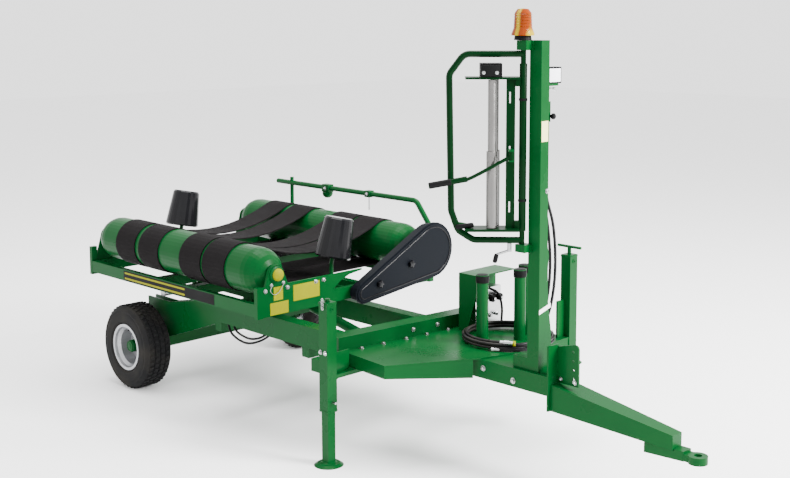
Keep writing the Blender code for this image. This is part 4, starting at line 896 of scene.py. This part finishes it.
# ---------------------------------------------------------------- add-on
class WrapperLook(bpy.types.PropertyGroup):
    green: FloatVectorProperty(name="Green", description="Body paint", subtype="COLOR", size=3,
                               default=(0.0, 0.047, 0.0085), min=0.0, max=1.0)
    slate: FloatVectorProperty(name="Slate", description="Chain cover plastic", subtype="COLOR", size=3,
                               default=(0.0030, 0.0040, 0.006), min=0.0, max=1.0)
    key: FloatProperty(name="Key light", description="Power of the main light", default=2800.0, min=0.0,
                       unit="POWER")
    sky: FloatProperty(name="Studio light", description="Strength of the soft surrounding light",
                       default=2.2, min=0.0)


def operator(name, label, words, work):
    def execute(self, context):
        work(context.scene.wrapper_look)
        return {"FINISHED"}
    return type("WRAPPER_OT_" + name, (bpy.types.Operator,),
                {"__doc__": words, "bl_idname": "wrapper." + name, "bl_label": label, "execute": execute})


def all_wheels(look):
    make_wheel("right", -1.0)
    make_wheel("left", 1.0)


STEPS = (
    ("stage", "Floor, lights and camera", "Set up the floor, the studio lights and the camera", make_stage),
    ("paint", "Materials", "Build every material and give each solid its own",
     lambda look: (build_materials(look), paint_nodes())),
    ("hoses", "Hoses", "Wind the loose hose and run the fixed ones", lambda look: make_hoses()),
    ("wheels", "Wheels", "Build the treaded tyres, nuts and hub caps", all_wheels),
    ("trim", "Plates and stripes", "Add the blank plates, stripes and bands", lambda look: make_trim()),
    ("bolts", "Bolts", "Add the bolts of the frame and end plates", lambda look: make_bolts()),
    ("bearings", "Roller bearings", "Add the roller bearing housings and caps",
     lambda look: make_bearings()),
    ("cover_bead", "Cover bead", "Add the raised bead of the chain cover", lambda look: make_cover_bead()),
    ("bearing_wire", "Bearing wire", "Add the nuts and looped wire beside the front bearing",
     lambda look: make_bearing_wire()),
    ("knobs", "Cover knobs", "Add the star knobs of the chain cover", lambda look: make_cover_knobs()),
    ("posts", "Film post caps", "Add the black caps of the film posts", lambda look: make_post_caps()),
    ("valve", "Valve block", "Add the coils and fittings of the valve block", lambda look: make_valve()),
    ("lamps", "Beacon and lamp", "Add the details of the beacon and work lamp",
     lambda look: make_beacon_and_lamp()),
    ("dispenser", "Film dispenser", "Add the grips and gear plate of the film dispenser",
     lambda look: make_dispenser_trim()),
    ("jacks", "Jacks", "Add the bands, pin and chain of the jacks", lambda look: make_jack_trim()),
    ("bar", "Bale bar", "Add the clamps of the bale bar", lambda look: make_bar_trim()),
)
OPERATORS = [operator(*step) for step in STEPS]


class WRAPPER_PT_panel(bpy.types.Panel):
    """Steps and colours of the bale wrapper."""

    bl_label = "Bale wrapper"
    bl_space_type = "VIEW_3D"
    bl_region_type = "UI"
    bl_category = "Wrapper"

    def draw(self, context):
        look = context.scene.wrapper_look
        for name in ("green", "slate", "key", "sky"):
            self.layout.prop(look, name)
        for step in STEPS:
            self.layout.operator("wrapper." + step[0])


def register():
    for kind in (WrapperLook, *OPERATORS, WRAPPER_PT_panel):
        bpy.utils.register_class(kind)
    bpy.types.Scene.wrapper_look = PointerProperty(type=WrapperLook)


def unregister():
    del bpy.types.Scene.wrapper_look
    for kind in (WRAPPER_PT_panel, *reversed(OPERATORS), WrapperLook):
        bpy.utils.unregister_class(kind)


def main():
    register()
    for step in STEPS:
        getattr(bpy.ops.wrapper, step[0])()
    calm()


if __name__ == "__main__":
    main()
